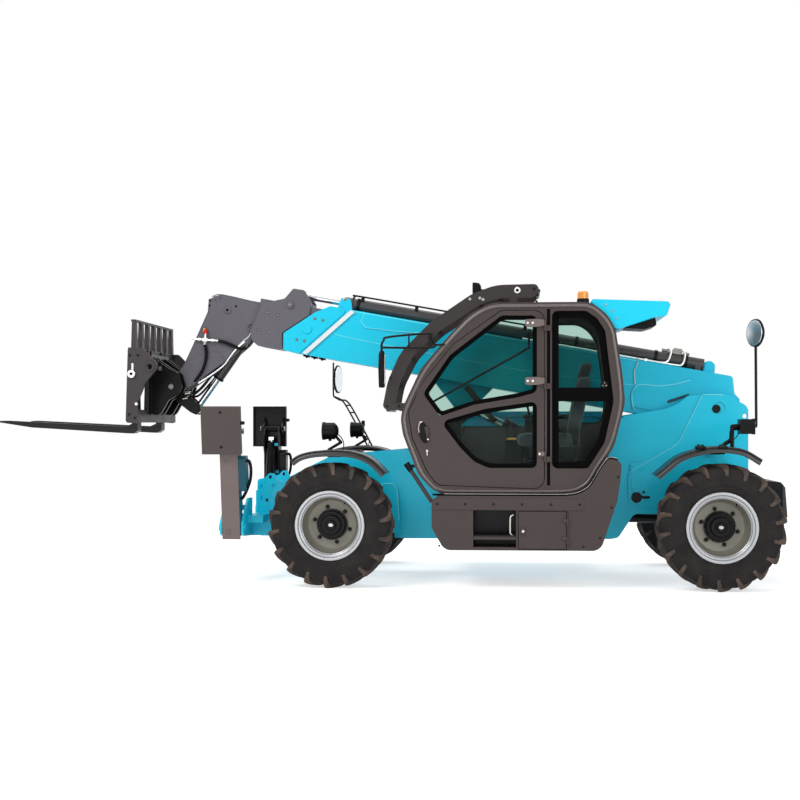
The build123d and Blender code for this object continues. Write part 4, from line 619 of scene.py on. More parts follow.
def wheel(corner, side, centre):
    """One wheel's tyre, bars, rim, hub, nuts, cap and valve."""
    body = "wheel_" + corner
    outward = Vector((0, side, 0))

    def spot(turn, radius, out):
        """A point round the axle, this far outboard of the wheel's middle."""
        return centre + outward * out + Vector((math.cos(turn), 0, math.sin(turn))) * radius

    tyre = tyre_casing(centre).piece("tyre_casing_" + corner, body, "tyre_rubber", TYRE, angle=40)
    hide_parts("tyre_" + corner)
    tyre_bars(centre).piece("tyre_bars_" + corner, body, "tyre_rubber", LUG_DUST_AND_LIGHT, angle=30)
    dish = turned(DISH_PROFILE, side, centre, 128).piece(
        "wheel_dish_" + corner, body, "rim_paint", RIM_DISH, angle=28,
    )
    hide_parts("rim_" + corner)
    turned(FLANGE_PROFILE, side, centre, 128).piece(
        "wheel_flange_" + corner, body, "rim_paint", RIM_BRIGHT, angle=28,
    )
    hub = turned(HUB_PROFILE, side, centre, 64)
    teeth = []
    for i in range(HUB_TEETH * 4):
        reach = 0.127 if i % 4 < 2 else 0.119
        teeth.append(spot(TAU * i / (HUB_TEETH * 4), reach, -0.0269))
    hub.plate(teeth, outward * 0.016)
    for i in range(HUB_BOLTS):
        hub.hexagon(spot(TAU * i / HUB_BOLTS, 0.116, -0.008), outward, 0.009, 0.006)
        hub.hexagon(spot(TAU * i / HUB_BOLTS, 0.086, 0.020), outward, 0.010, 0.006)
    hub.piece("wheel_hub_" + corner, body, "black_metal", BLACK, angle=30)
    nuts = Shape()
    for i in range(WHEEL_NUTS):
        foot = spot(TAU * (i + 0.75) / WHEEL_NUTS, 0.146, -0.0279)
        nuts.cylinder(foot, foot + outward * 0.004, 0.017, 24)
        nuts.hexagon(foot + outward * 0.004, outward, 0.026, 0.018)
        nuts.cylinder(foot + outward * 0.022, foot + outward * 0.034, 0.008, 14)
    nuts.piece("wheel_nuts_" + corner, body, "black_metal", BLACK)
    cap = []
    for k in range(32):
        turn = TAU * k / 32
        cap.append(
            centre + outward * 0.0702 + Vector((math.cos(turn) * 0.019, 0, math.sin(turn) * 0.013)),
        )
    Shape().plate(cap, outward * 0.004).piece("wheel_cap_" + corner, body, "rod_chrome", ZINC)
    valve = Shape().cylinder(
        centre + outward * 0.055 + Vector((0.12, 0, 0.186)),
        centre + outward * 0.115 + Vector((0.112, 0, 0.172)), 0.0045, 12,
    )
    valve.piece("wheel_valve_" + corner, body, "black_plastic", SEAL)


for end, axle_x in (("front", AXLE_X), ("rear", REAR_AXLE_X)):
    for name, side in SIDES.items():
        wheel(end + "_" + name, side, Vector((axle_x, side * WHEEL_Y, AXLE_Z)))


# ---------------------------------------------------------------- outlines and small fittings
def rounded(points, radius, steps=5):
    """A closed outline of (x, z) points with its corners rounded."""
    line = []
    for i, corner in enumerate(points):
        here = Vector(corner)
        back = Vector(points[i - 1]) - here
        ahead = Vector(points[(i + 1) % len(points)]) - here
        reach = min(radius, back.length / 2.2, ahead.length / 2.2)
        start = here + back.normalized() * reach
        end = here + ahead.normalized() * reach
        for k in range(steps + 1):
            t = k / steps
            line.append(start * (1 - t) ** 2 + here * (2 * t * (1 - t)) + end * t * t)
    return line


def drawn_in(line, distance):
    """A closed outline moved towards its inside."""
    area = sum(a.x * b.y - b.x * a.y for a, b in zip(line, line[1:] + line[:1]))
    turn = 1 if area > 0 else -1
    moved = []
    for i, here in enumerate(line):
        before = (here - line[i - 1]).normalized()
        after = (line[(i + 1) % len(line)] - here).normalized()
        normal = Vector((-before.y - after.y, before.x + after.x)).normalized() * turn
        spread = max(0.5, normal.dot(Vector((-before.y, before.x)) * turn))
        moved.append(here + normal * (distance / spread))
    return moved


def band(shape, outline, width, y_front, y_back, radius=45):
    """A flat border that follows an outline just inside it."""
    outer = rounded(outline, radius)
    inner = drawn_in(outer, width)
    rings = []
    for loop, y in ((outer, y_front), (inner, y_front), (inner, y_back), (outer, y_back)):
        rings.append([at(p.x, y, p.y) for p in loop])
    return shape.ring_loft(rings, closed_loop=True)


def sheet(shape, outline, y_front, y_back, radius=10):
    """A flat plate with rounded corners, between two Y values."""
    ring = rounded(outline, radius)
    return shape.ring_loft([[at(p.x, y, p.y) for p in ring] for y in (y_front, y_back)])


def boom_sheet(shape, outline, y_front, y_back, radius=10):
    """The same with its outline along and above the boom."""
    ring = rounded(outline, radius)
    return shape.ring_loft([[boom_at(p.x, p.y, y) for p in ring] for y in (y_front, y_back)])


def disc(shape, place, axis, radius, height, sides=32, radius_end=None):
    """A round disc from a place along an axis, in metres."""
    axis = Vector(axis).normalized()
    return shape.cylinder(place, Vector(place) + axis * height, radius, sides, radius_end)


def washer(shape, place, axis, inner, outer, height, steps=32):
    """A flat ring from a place along an axis, in metres."""
    profile = [
        (0, inner), (0, outer), (height * 0.7, outer), (height, outer - height * 0.3), (height, inner),
    ]
    return shape.revolve(profile, place, axis, steps=steps)


def hose(name, body, points, radius, material=None, slot="black_plastic"):
    """A hose or pipe through points in metres, its radius in millimetres."""
    material = material or HOSE
    return Shape().pipe(points, radius * MM, sides=12, bend=8).piece(name, body, slot, material, angle=60)


# ---------------------------------------------------------------- cab glass borders, hinges and handle
DOOR_UPPER = [
    (1371, 2186), (1655, 2184), (1655, 1573), (1498, 1530), (1157, 1474), (880, 1380), (745, 1561),
    (960, 1870),
]
DOOR_LOWER = [
    (886, 1338), (1243, 1440), (1655, 1500), (1655, 968), (1271, 967), (1157, 1017), (1043, 1131),
]
QUARTER = [
    (1775, 2220), (2045, 2220), (2130, 2160), (2195, 2060), (2262, 1500), (2190, 1170), (2060, 965),
    (1775, 965),
]
# The cab's outer face on the near side.
NEAR_Y = -1050.0


def cab_borders():
    """Black borders round the panes of the door and the quarter window."""
    door = Shape()
    for outline in (DOOR_UPPER, DOOR_LOWER):
        band(door, outline, 34, NEAR_Y + 28, NEAR_Y + 39.6)
    door.piece("door_glass_borders", "door", "black_plastic", SEAL)
    quarter = Shape()
    band(quarter, QUARTER, 54, NEAR_Y + 30, NEAR_Y + 44.6)
    sheet(
        quarter, [(1800, 1500), (1800, 1610), (2230, 1610), (2230, 1500)], NEAR_Y + 31, NEAR_Y + 44.4, 4,
    )
    quarter.piece("quarter_glass_border", "machine", "black_plastic", SEAL)
    knob = Shape()
    disc(knob, at(2190, NEAR_Y + 29.8, 1632), (0, -1, 0), 0.033, 0.012, 32, 0.028)
    knob.piece("quarter_glass_knob", "machine", "black_plastic", PLASTIC)
    dots = Shape()
    for i in range(3):
        turn = TAU * i / 3 + math.pi / 2
        foot = at(2190 + 15 * math.cos(turn), NEAR_Y + 17.5, 1632 + 15 * math.sin(turn))
        disc(dots, foot, (0, -1, 0), 0.0045, 0.003, 12)
    dots.piece("quarter_glass_screws", "machine", "rod_chrome", ZINC)


def door_fittings():
    """Hinge plates with their screws, the oval handle, its key and the long stay behind the pane."""
    plates = Shape()
    screws = Shape()
    pads = Shape()
    for hinge_z in (2106, 1644):
        outline = [
            (1562, hinge_z - 10), (1562, hinge_z + 46), (1655, hinge_z + 50), (1690, hinge_z + 44),
            (1714, hinge_z + 44), (1714, hinge_z - 4), (1660, hinge_z - 14), (1600, hinge_z - 16),
        ]
        sheet(plates, outline, NEAR_Y - 26, NEAR_Y - 18.2, 12)
        sheet(
            pads, [(1570, hinge_z - 8), (1570, hinge_z + 42), (1640, hinge_z + 42), (1640, hinge_z - 8)],
            NEAR_Y - 18, NEAR_Y + 39, 10,
        )
        for screw_x in (1582, 1622):
            disc(screws, at(screw_x, NEAR_Y - 26, hinge_z + 18), (0, -1, 0), 0.010, 0.004, 20, 0.008)
    sheet(plates, [(1664, 1063), (1664, 1100), (1714, 1100), (1714, 1063)], NEAR_Y - 25, NEAR_Y - 18.2, 6)
    disc(screws, at(1676, NEAR_Y - 25, 1082), (0, -1, 0), 0.007, 0.004, 16)
    plates.piece("door_hinge_plates", "door", "dark_paint", LEG_GREY)
    pads.piece("door_hinge_pads", "door", "black_plastic", SEAL)
    screws.piece("door_hinge_screws", "door", "rod_chrome", WHITE_METAL)
    trim = Shape()
    cup = Shape()
    cup_rings = []
    for y, grow in ((-1.0, 0), (-14.0, 0), (-18.0, -5)):
        loop = []
        for k in range(36):
            turn = TAU * k / 36
            across = (38 + grow) * math.cos(turn)
            up = (84 + grow) * math.sin(turn)
            loop.append(at(752 + across + up * -0.16, NEAR_Y + y, 1250 + up))
        cup_rings.append(loop)
    cup.ring_loft(cup_rings)
    sheet(
        cup, [(728, 1200), (722, 1310), (748, 1322), (776, 1216), (762, 1190)], NEAR_Y - 34, NEAR_Y - 18,
        14,
    )
    cup.piece("door_handle_grip", "door", "black_plastic", PLASTIC)
    trim.pipe(
        [
            at(716, NEAR_Y - 17, 1250), at(712, NEAR_Y - 18, 1290), at(722, NEAR_Y - 18, 1328),
            at(742, NEAR_Y - 18, 1338),
        ],
        0.006, 10,
    )
    disc(trim, at(779, NEAR_Y - 1, 1103), (0, -1, 0), 0.011, 0.010, 20, 0.009)
    sheet(trim, [(776, 1066), (776, 1100), (783, 1100), (783, 1066)], NEAR_Y - 16, NEAR_Y - 11, 3)
    disc(trim, at(786, NEAR_Y - 1, 1196), (0, -1, 0), 0.007, 0.020, 16)
    trim.piece("door_handle_trim", "door", "rod_chrome", ZINC)
    stay = [
        (792, -1002, 1480), (819, -980, 1497), (1200, -978, 1712), (1560, -980, 1912),
        (1590, -982, 1950), (1593, -984, 2040), (1598, -1002, 2072),
    ]
    hose("door_stay", "door", places(stay), 9, BLACK, "black_metal")


# The near side's frame, seen square on.
CAB_EDGE = [
    (1290, 2262), (2075, 2262), (2182, 2180), (2250, 2075), (2303, 1713), (2324, 1486), (2240, 1150),
    (2110, 950), (2055, 848), (1950, 790), (1784, 781), (922, 781), (842, 806), (733, 922), (612, 1235),
    (590, 1374), (624, 1478), (753, 1748), (977, 2014), (1134, 2175),
]


def cab_edge():
    """The round frame tube that runs right round the near side, painted lighter than the cab as the highlight of
    its rounded edge, and the seal beside the door post.
    """
    tube = Shape()
    line = [at(p.x, NEAR_Y - 1, p.y) for p in rounded(CAB_EDGE, 170, 7)]
    outward = Vector((0, -0.011, 0))
    rings = []
    for i, p in enumerate(line):
        ahead = (line[(i + 1) % len(line)] - line[i - 1]).normalized()
        across = ahead.cross(outward).normalized() * 0.013
        turns = [TAU * k / 14 for k in range(14)]
        rings.append([p + across * math.cos(turn) + outward * math.sin(turn) for turn in turns])
    tube.ring_loft(rings, closed_loop=True)
    tube.piece("cab_frame_tube", "machine", "dark_paint", FRAME_TUBE_HIGHLIGHT, angle=60)
    seal = Shape()
    seal.block(at(1735, NEAR_Y - 3, 830), at(1760, NEAR_Y - 0.2, 2236), 0.001)
    seal.piece("door_post_seal", "machine", "black_plastic", SEAL)


cab_edge()
cab_borders()
door_fittings()


# ---------------------------------------------------------------- cab roof, guard and front
def beacon_and_work_lamp():
    """The beacon, and the work lamp with its housing, bracket and wire."""
    beacon = Shape()
    base = at(2040, -600, 2290)
    beacon.revolve(
        [
            (0.064, 0.0425), (0.064, 0.047), (0.112, 0.045), (0.124, 0.036), (0.125, 0.0005),
            (0.1185, 0.0005), (0.1185, 0.0425),
        ],
        base, (0, 0, 1), steps=40,
    )
    beacon.piece("beacon_lens", "machine", "black_plastic", BEACON)
    foot = Shape()
    foot.revolve(
        [(0.0005, 0.0425), (0.0005, 0.054), (0.060, 0.050), (0.0635, 0.0425)], base, (0, 0, 1), steps=40,
    )
    foot.piece("beacon_foot", "machine", "black_plastic", PLASTIC)
    lamp = Shape()
    disc(lamp, at(1142, -870, 2420), (-1, 0, 0), 0.039, 0.006, 36, 0.034)
    lamp.piece("work_lamp_lens", "machine", "black_plastic", CLEAR_LENS)
    housing = Shape()
    housing.revolve(
        [
            (-0.004, 0.040), (-0.004, 0.050), (0.028, 0.048), (0.060, 0.030), (0.066, 0.016),
            (0.066, 0.0005), (0.052, 0.0005), (0.052, 0.0255),
        ],
        at(1141, -870, 2420), (1, 0, 0), steps=36,
    )
    for i in range(5):
        housing.block(at(1168 + i * 7, -900, 2386), at(1170 + i * 7, -840, 2454))
    housing.piece("work_lamp_housing", "machine", "black_plastic", PLASTIC)
    mount = Shape()
    for low in (-906, -844):
        mount.block(at(1150, low, 2338), at(1180, low + 10, 2424), 0.003)
    mount.block(at(1148, -906, 2338), at(1182, -834, 2346), 0.003)
    mount.bolt(at(1165, -906, 2420), (0, -1, 0), 0.012)
    mount.bolt(at(1165, -834, 2420), (0, 1, 0), 0.012)
    for bolt_x, bolt_z in ((1120, 2322), (1200, 2330), (1225, 2318)):
        mount.bolt(at(bolt_x, -1010, bolt_z), (0, -1, 0), 0.012)
    mount.piece("work_lamp_bracket", "machine", "rod_chrome", ZINC)
    wire = (
        (1200, -870, 2412), (1235, -885, 2400), (1238, -930, 2360), (1205, -960, 2330),
        (1180, -990, 2312),
    )
    hose("work_lamp_wire", "machine", places(wire), 5)


def guard_and_air_fittings():
    """The guard's eye and bolts, and the screws, grille and drip tray of the air conditioner."""
    eye = Shape()
    washer(eye, at(1500, -1010.2, 2389), (0, -1, 0), 0.013, 0.026, 0.010)
    eye.piece("guard_eye_ring", "machine", "rod_chrome", WHITE_METAL)
    dark_eye = Shape()
    disc(dark_eye, at(1500, -1010.1, 2389), (0, -1, 0), 0.0128, 0.004, 24)
    dark_eye.piece("guard_eye_core", "machine", "black_plastic", PLASTIC)
    bolts = Shape()
    for bolt_x, bolt_z in ((452, 1462), (548, 1462), (478, 1690), (1632, 2400), (1660, 2352)):
        for y, axis in ((-1010.2, (0, -1, 0)), (-399.8, (0, 1, 0))):
            bolts.bolt(at(bolt_x, y, bolt_z), axis, 0.011)
    bolts.piece("guard_bolts", "machine", "black_metal", BLACK)
    screws = Shape()
    for screw_x, screw_z in ((2204, 2270), (2251, 2219), (2290, 2163)):
        disc(screws, at(screw_x, -1010.2, screw_z), (0, -1, 0), 0.010, 0.004, 20, 0.007)
    for screw_y in (-900, -680, -480):
        disc(screws, at(2640, screw_y, 2301), (0, 0, 1), 0.009, 0.008, 20, 0.007)
    screws.piece("air_housing_screws", "machine", "rod_chrome", ZINC)
    grille = Shape()
    for i in range(9):
        z = 2268 - i * 9
        x = 2712 - i * 2.9
        grille.block(at(x - 4, -940, z), at(x + 6, -450, z + 3))
    grille.piece("air_housing_grille", "machine", "black_plastic", PLASTIC)
    tray = Shape()
    outline = [(2360, 2090), (2360, 2124), (2600, 2178), (2614, 2108), (2523, 2080)]
    sheet(tray, outline, -904, -556, 22)
    tray.piece("air_drip_tray", "machine", "black_plastic", PLASTIC)


def front_fittings():
    """The rail and the wiper in front of the cab."""
    rail = Shape()
    rail.cylinder(at(640, -1000, 950), at(814, -1000, 688), 0.016, 20)
    rail.piece("front_rail", "machine", "dark_paint", DARK)
    head = Shape()
    head.cylinder(at(606, -1000, 1002), at(646, -1000, 941), 0.026, 24, 0.022)
    head.block(at(622, -1012, 968), at(700, -988, 992), 0.004)
    head.piece("front_rail_head", "machine", "black_plastic", PLASTIC)
    wiper = Shape()
    wiper.pipe(
        [at(470, -705, 1452), at(478, -705, 1500), at(520, -720, 1640), at(600, -740, 1800)], 0.007, 10,
    )
    wiper.piece("front_wiper", "machine", "black_metal", BLACK)


beacon_and_work_lamp()
guard_and_air_fittings()
front_fittings()


# ---------------------------------------------------------------- cab interior
def cushion(shape, low, high, lean=0.0):
    """A padded block, fuller in its middle; lean pushes its top back."""
    low = Vector(low)
    high = Vector(high)
    size = high - low
    rings = []
    for level, grow in (
        (0.0, 0.86), (0.08, 0.95), (0.25, 1.0), (0.6, 1.0), (0.85, 0.97), (0.96, 0.88), (1.0, 0.74),
    ):
        loop = []
        for k in range(40):
            turn = TAU * k / 40
            c = math.cos(turn)
            s = math.sin(turn)
            x = 0.5 * abs(c) ** 0.35 * math.copysign(1, c) * grow
            y = 0.5 * abs(s) ** 0.35 * math.copysign(1, s) * grow
            loop.append(
                low + Vector(((0.5 + x) * size.x + lean * level, (0.5 + y) * size.y, size.z * level)),
            )
        rings.append(loop)
    return shape.ring_loft(rings)


def interior():
    """The seat, the levers, the side console and the dials."""
    seat = Shape()
    cushion(seat, at(1500, -950, 1140), at(2005, -470, 1245))
    cushion(seat, at(1890, -940, 1242), at(2000, -480, 1700), 0.10)
    cushion(seat, at(1985, -830, 1690), at(2080, -590, 1810), 0.03)
    cushion(seat, at(1620, -955, 1290), at(1900, -915, 1345))
    seat_piece = seat.piece("seat_cushions", "machine", "seat_fabric", CLOTH, angle=70)
    base = Shape()
    base.block(at(1560, -920, 881), at(1990, -500, 1040), 0.01)
    base.block(at(1590, -890, 1040), at(1960, -530, 1142), 0.006)
    base.block(at(1930, -940, 1150), at(1990, -470, 1300), 0.01)
    base.block(at(1860, -950, 1230), at(1895, -920, 1320), 0.004)
    base_piece = base.piece("seat_base", "machine", "black_plastic", PLASTIC)
    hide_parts("operator_seat")
    side = Shape()
    side.block(at(1400, -668, 881), at(1545, -580, 1185), 0.012)
    side.block(at(1545, -450, 1362), at(1990, -405, 1400), 0.012)
    side.piece("side_console", "machine", "black_plastic", DASH)
    stripe = Shape()
    stripe.block(at(1412, -672, 1188), at(1490, -600, 1204), 0.003)
    stripe.piece("lever_guard", "machine", "black_plastic", BEACON)
    levers = Shape()
    for lever_x in (1420, 1480):
        levers.cylinder(at(lever_x, -630, 1203), at(lever_x - 10, -630, 1290), 0.006, 12)
        levers.revolve(
            [(0.0, 0.001), (0.004, 0.014), (0.026, 0.020), (0.046, 0.012), (0.050, 0.001)],
            at(lever_x - 10, -630, 1285), (0, 0, 1), steps=20,
        )
    levers.cylinder(at(1600, -428, 1398), at(1575, -428, 1500), 0.010, 14)
    levers.revolve(
        [(0.0, 0.010), (0.03, 0.026), (0.075, 0.028), (0.095, 0.016), (0.097, 0.001), (0.0, 0.001)],
        at(1575, -428, 1490), (-0.2, 0, 1), steps=20,
    )
    levers.piece("cab_levers", "machine", "black_plastic", PLASTIC)
    dials = Shape()
    for dial_y in (-800, -710, -620):
        disc(dials, at(905, dial_y, 1404), (0.37, 0, 0.93), 0.028, 0.006, 24)
    dials.piece("console_dials", "machine", "black_plastic", PLASTIC)


interior()


# ---------------------------------------------------------------- boom fittings
# The outer boom's side faces, and the height of the extension cylinder above the pivot line.
FLANK = 185.0
BARREL_RISE = 362.0


def boom_side_fittings():
    """The collar strip and bolts, weld lines and slots on both flanks of the outer boom. The collar strip is white
    as a painted highlight on the collar's bevel, the weld lines are a lighter teal as painted highlight, and the
    slots are a dark teal as painted shade in their recess.
    """
    strip = Shape()
    bolts = Shape()
    weld_highlights = Shape()
    slots = Shape()
    for side in (-1, 1):
        outward = (0, side, 0)
        # A white strip along the collar's bevelled edge: painted highlight, standing for the bevel's reflection.
        boom_sheet(
            strip, [(3166, 290), (3206, 300), (3560, -140), (3520, -150)], side * (FLANK + 0.3),
            side * (FLANK + 6), 6,
        )
        for u, v in ((3503, 172), (3431, 170), (3627, -34), (3560, -36)):
            washer(bolts, boom_at(u, v, side * (FLANK - 4)), outward, 0.009, 0.0125, 0.007)
            bolts.hexagon(boom_at(u, v, side * (FLANK - 4)), outward, 0.015, 0.009)
        # Weld lines and plate edges as thin beads in the lighter teal: painted highlight.
        weld_highlights.pipe(
            [boom_at(3313, 68, side * 176), boom_at(2903, 52, side * 176), boom_at(1500, 40, side * 176)],
            0.003, 8, 4,
        )
        weld_highlights.pipe(
            [
                boom_at(3080, 290, side * 181), boom_at(3052, 170, side * 181),
                boom_at(2430, 222, side * 181),
            ],
            0.0035, 8, 2,
        )
        edge = (
            (2487, 1440), (2470, 1540), (2486, 1612), (2540, 1652), (2720, 1642), (2862, 1662),
            (2960, 1688),
        )
        weld_highlights.pipe([at(x, side * (FLANK + 1), z) for x, z in edge], 0.006, 8, 6)
        weld_highlights.pipe([boom_at(3160, 292, side * 175), boom_at(704, 292, side * 175)], 0.004, 8, 2)
        weld_highlights.pipe([boom_at(700, 82, side * 176), boom_at(1400, 44, side * 176)], 0.003, 8, 2)
        # The slots are thin sheets of dark teal on the flank: painted shade for their recess.
        boom_sheet(
            slots, [(397, -14), (391, 6), (230, 92), (216, 84), (222, 70), (380, -18)],
            side * (FLANK + 0.2), side * (FLANK + 1.2), 9,
        )
        washer(slots, boom_at(204, 64, side * FLANK), outward, 0.006, 0.014, 0.003)
    strip.piece("boom_collar_highlight_strip", "boom", "rim_paint", WHITE_HIGHLIGHT)
    bolts.piece("boom_collar_bolts", "boom", "rod_chrome", BOLT_GREY)
    weld_highlights.piece("boom_weld_highlights", "boom", "teal_paint", TEAL_HIGHLIGHT, angle=60)
    slots.piece("boom_slots", "boom", "teal_paint", TEAL_SHADE)


def boom_top_fittings():
    """Slide pads, front bracket, hose rail, and the barrel's bands and gland."""
    pads = Shape()
    for u in (3380, 3450, 3520):
        low = [boom_at(u + a, -151.2, b) for a, b in ((0, -60), (48, -60), (48, 60), (0, 60))]
        pads.plate(low, BOOM_UP * -0.014)
        pads.bolt(boom_at(u + 24, -165, 0), -BOOM_UP, 0.012)
    pads.piece("boom_slide_pads", "boom", "black_plastic", SEAL)
    horns = Shape()
    for y in (-78, 64):
        outline = [
            (3206, 303.5), (3232, 384), (3252, 402), (3268, 398), (3276, 372), (3296, 372), (3304, 398),
            (3322, 396), (3338, 303.5),
        ]
        boom_sheet(horns, outline, y, y + 14, 8)
    horns.piece("boom_front_bracket", "boom", "teal_paint", TEAL)
    rail = Shape()
    rail.pipe(
        [
            boom_at(u, v, -46)
            for u, v in ((3222, 402), (3206, 430), (3160, 438), (2420, 438), (1560, 438), (1500, 405))
        ],
        0.008, 12,
    )
    for u in (3120, 2640, 2160, 1680):
        corner = [boom_at(u + a, v, -52) for a, v in ((0, 398), (30, 398), (30, 436), (0, 436))]
        rail.plate(corner, (0, 0.012, 0))
    rail.piece("boom_hose_rail", "boom", "black_metal", BLACK)
    bands = Shape()
    for u in (3180, 2200, 1250, 560, 300):
        bands.revolve(
            [(0, 0.0553), (0, 0.061), (0.028, 0.061), (0.028, 0.0553)],
            boom_at(u, BARREL_RISE, 0), -BOOM_DIRECTION, steps=40,
        )
        bands.bolt(boom_at(u - 14, BARREL_RISE + 44, -44), (0, -0.7, 0.7), 0.010)
    bands.piece("barrel_bands", "boom", "black_metal", BLACK)
    gland = Shape()
    gland.revolve(
        [(-0.002, 0.031), (-0.002, 0.050), (0.014, 0.052), (0.022, 0.046), (0.022, 0.031)],
        boom_at(3280, BARREL_RISE, 0), BOOM_DIRECTION, steps=40,
    )
    gland.piece("barrel_gland", "boom", "rod_chrome", BOLT_GREY)


def boom_pipes():
    """Steel pipes, valve block and cable at the rear of the boom."""
    pipes = Shape()
    routes = (
        (
            (430, 436, -24), (432, 446, -58), (426, 432, -78), (430, 380, -82), (446, 334, -86),
            (490, 319, -94), (640, 314, -100), (1700, 314, -100),
        ),
        (
            (318, 436, -24), (316, 446, -60), (308, 430, -82), (306, 372, -88), (320, 328, -104),
            (372, 316, -122), (640, 313, -130), (1700, 313, -130),
        ),
    )
    for route in routes:
        pipes.pipe([boom_at(*p) for p in route], 0.009, 12)
        pipes.cylinder(boom_at(route[0][0], 436, -20), boom_at(route[0][0], 436, -44), 0.014, 6)
    for u in (620, 900, 1300):
        pipes.plate(
            [boom_at(u + a, v, -84) for a, v in ((0, 303.4), (22, 303.4), (22, 326), (0, 326))],
            (0, -0.060, 0),
        )
    pipes.piece("boom_steel_pipes", "boom", "rod_chrome", WHITE_METAL)
    valve = Shape()
    valve.plate(
        [boom_at(u, 416.5, y) for u, y in ((290, -26), (455, -26), (455, 30), (290, 30))],
        BOOM_UP * 0.034,
    )
    valve.plate(
        [boom_at(u, 451, y) for u, y in ((330, -20), (400, -20), (400, 24), (330, 24))], BOOM_UP * 0.016,
    )
    valve.cylinder(boom_at(455, 432, 0), boom_at(500, 432, 0), 0.014, 16)
    valve.cylinder(boom_at(290, 432, 0), boom_at(262, 432, 0), 0.012, 6)
    valve.piece("boom_valve_block", "boom", "rod_chrome", BOLT_GREY)
    loop = [
        boom_at(690, 314, -120), boom_at(706, 312, -172), boom_at(700, 280, -190),
        boom_at(712, 210, -192), boom_at(700, 140, -191), boom_at(688, 96, -190),
    ]
    hose("boom_cable_loop", "boom", loop, 3.5, ZINC, "rod_chrome")


def mid_fittings():
    """Collar bolts and the cylinder's pin on the middle section."""
    mid = Shape()
    for side in (-1, 1):
        outward = (0, side, 0)
        for u, v in ((3927, 154), (3832, 149), (3976, -6), (3883, -8)):
            washer(mid, boom_at(u, v, side * 157), outward, 0.009, 0.0125, 0.008)
            mid.hexagon(boom_at(u, v, side * 157), outward, 0.015, 0.010)
        mid.hexagon(boom_at(3743, 255, side * 178), outward, 0.026, 0.006)
    mid.piece("mid_collar_bolts", "boom_mid", "rod_chrome", BOLT_GREY)
    lug = Shape()
    lug.revolve(
        [
            (-0.122, 0.0005), (-0.122, 0.030), (-0.112, 0.034), (0.112, 0.034), (0.122, 0.030),
            (0.122, 0.0005),
        ],
        boom_at(3690, BARREL_RISE, 0), (0, 1, 0), steps=36,
    )
    lug.piece("mid_lug_pin", "boom_mid", "grey_paint", GREY)


boom_side_fittings()
boom_top_fittings()
boom_pipes()
mid_fittings()


# ---------------------------------------------------------------- boom head
def head_fittings():
    """Bosses, weld lines and holes of the head, and its shut-off valve."""
    dark = Shape()
    plates = Shape()
    for side in (-1, 1):
        outward = (0, side, 0)
        washer(plates, boom_at(4291, 117, side * 118), outward, 0.012, 0.032, 0.009)
        disc(dark, boom_at(4291, 117, side * 118), outward, 0.0118, 0.010, 24)
        disc(dark, boom_at(4223, 162, side * 118), outward, 0.009, 0.003, 20)
        for x, z in ((-1203, 2405), (-1208, 2362), (-1209, 2320)):
            disc(dark, at(x, side * 99.2, z), outward, 0.009, 0.002, 20)
        for x, z in ((-1150, 2415), (-1110, 2428)):
            plates.bolt(at(x, side * 118, z), outward, 0.010)
        washer(plates, at(-830, side * 118, 2173), outward, 0.024, 0.042, 0.012)
        plates.bolt(at(-790, side * 118, 2140), outward, 0.011)
        washer(plates, at(-1560, side * 126.3, 1643), outward, 0.034, 0.060, 0.004)
        plates.pipe(
            [at(-1180, side * 117.5, 2440), at(-1090, side * 117.5, 2456), at(-740, side * 117.5, 2375)],
            0.004, 8, 3,
        )
        plates.pipe(
            [at(-1198, side * 117.5, 2345), at(-1408, side * 117.5, 1885), at(-1498, side * 117.5, 1737)],
            0.004, 8, 3,
        )
    plates.piece("head_bosses", "boom_inner", "grey_paint", GREY)
    dark.piece("head_holes", "boom_inner", "black_plastic", SEAL)
    valve = Shape()
    valve.block(at(-1262, -158, 2040), at(-1210, -126.3, 2076), 0.004)
    valve.cylinder(at(-1361, -146, 2066), at(-1111, -146, 2048), 0.008, 14)
    for x, z in ((-1300, 2062), (-1180, 2053)):
        valve.hexagon(at(x, -146, z), (1, 0, -0.07), 0.022, 0.022)
    valve.cylinder(at(-1236, -146, 2076), at(-1232, -146, 2112), 0.011, 16)
    valve.cylinder(at(-1236, -146, 2040), at(-1240, -146, 2010), 0.012, 6)
    valve.piece("head_valve", "boom_inner", "rod_chrome", WHITE_METAL)
    tap = Shape()
    tap.cylinder(at(-1232, -146, 2110), at(-1230, -146, 2150), 0.018, 20, 0.015)
    tap.piece("head_tap_knob", "boom_inner", "black_plastic", RED)
    lever = Shape()
    lever.block(at(-1252, -150, 2128), at(-1236, -136, 2158), 0.003)
    lever.piece("head_tap_lever", "boom_inner", "black_plastic", YELLOW)


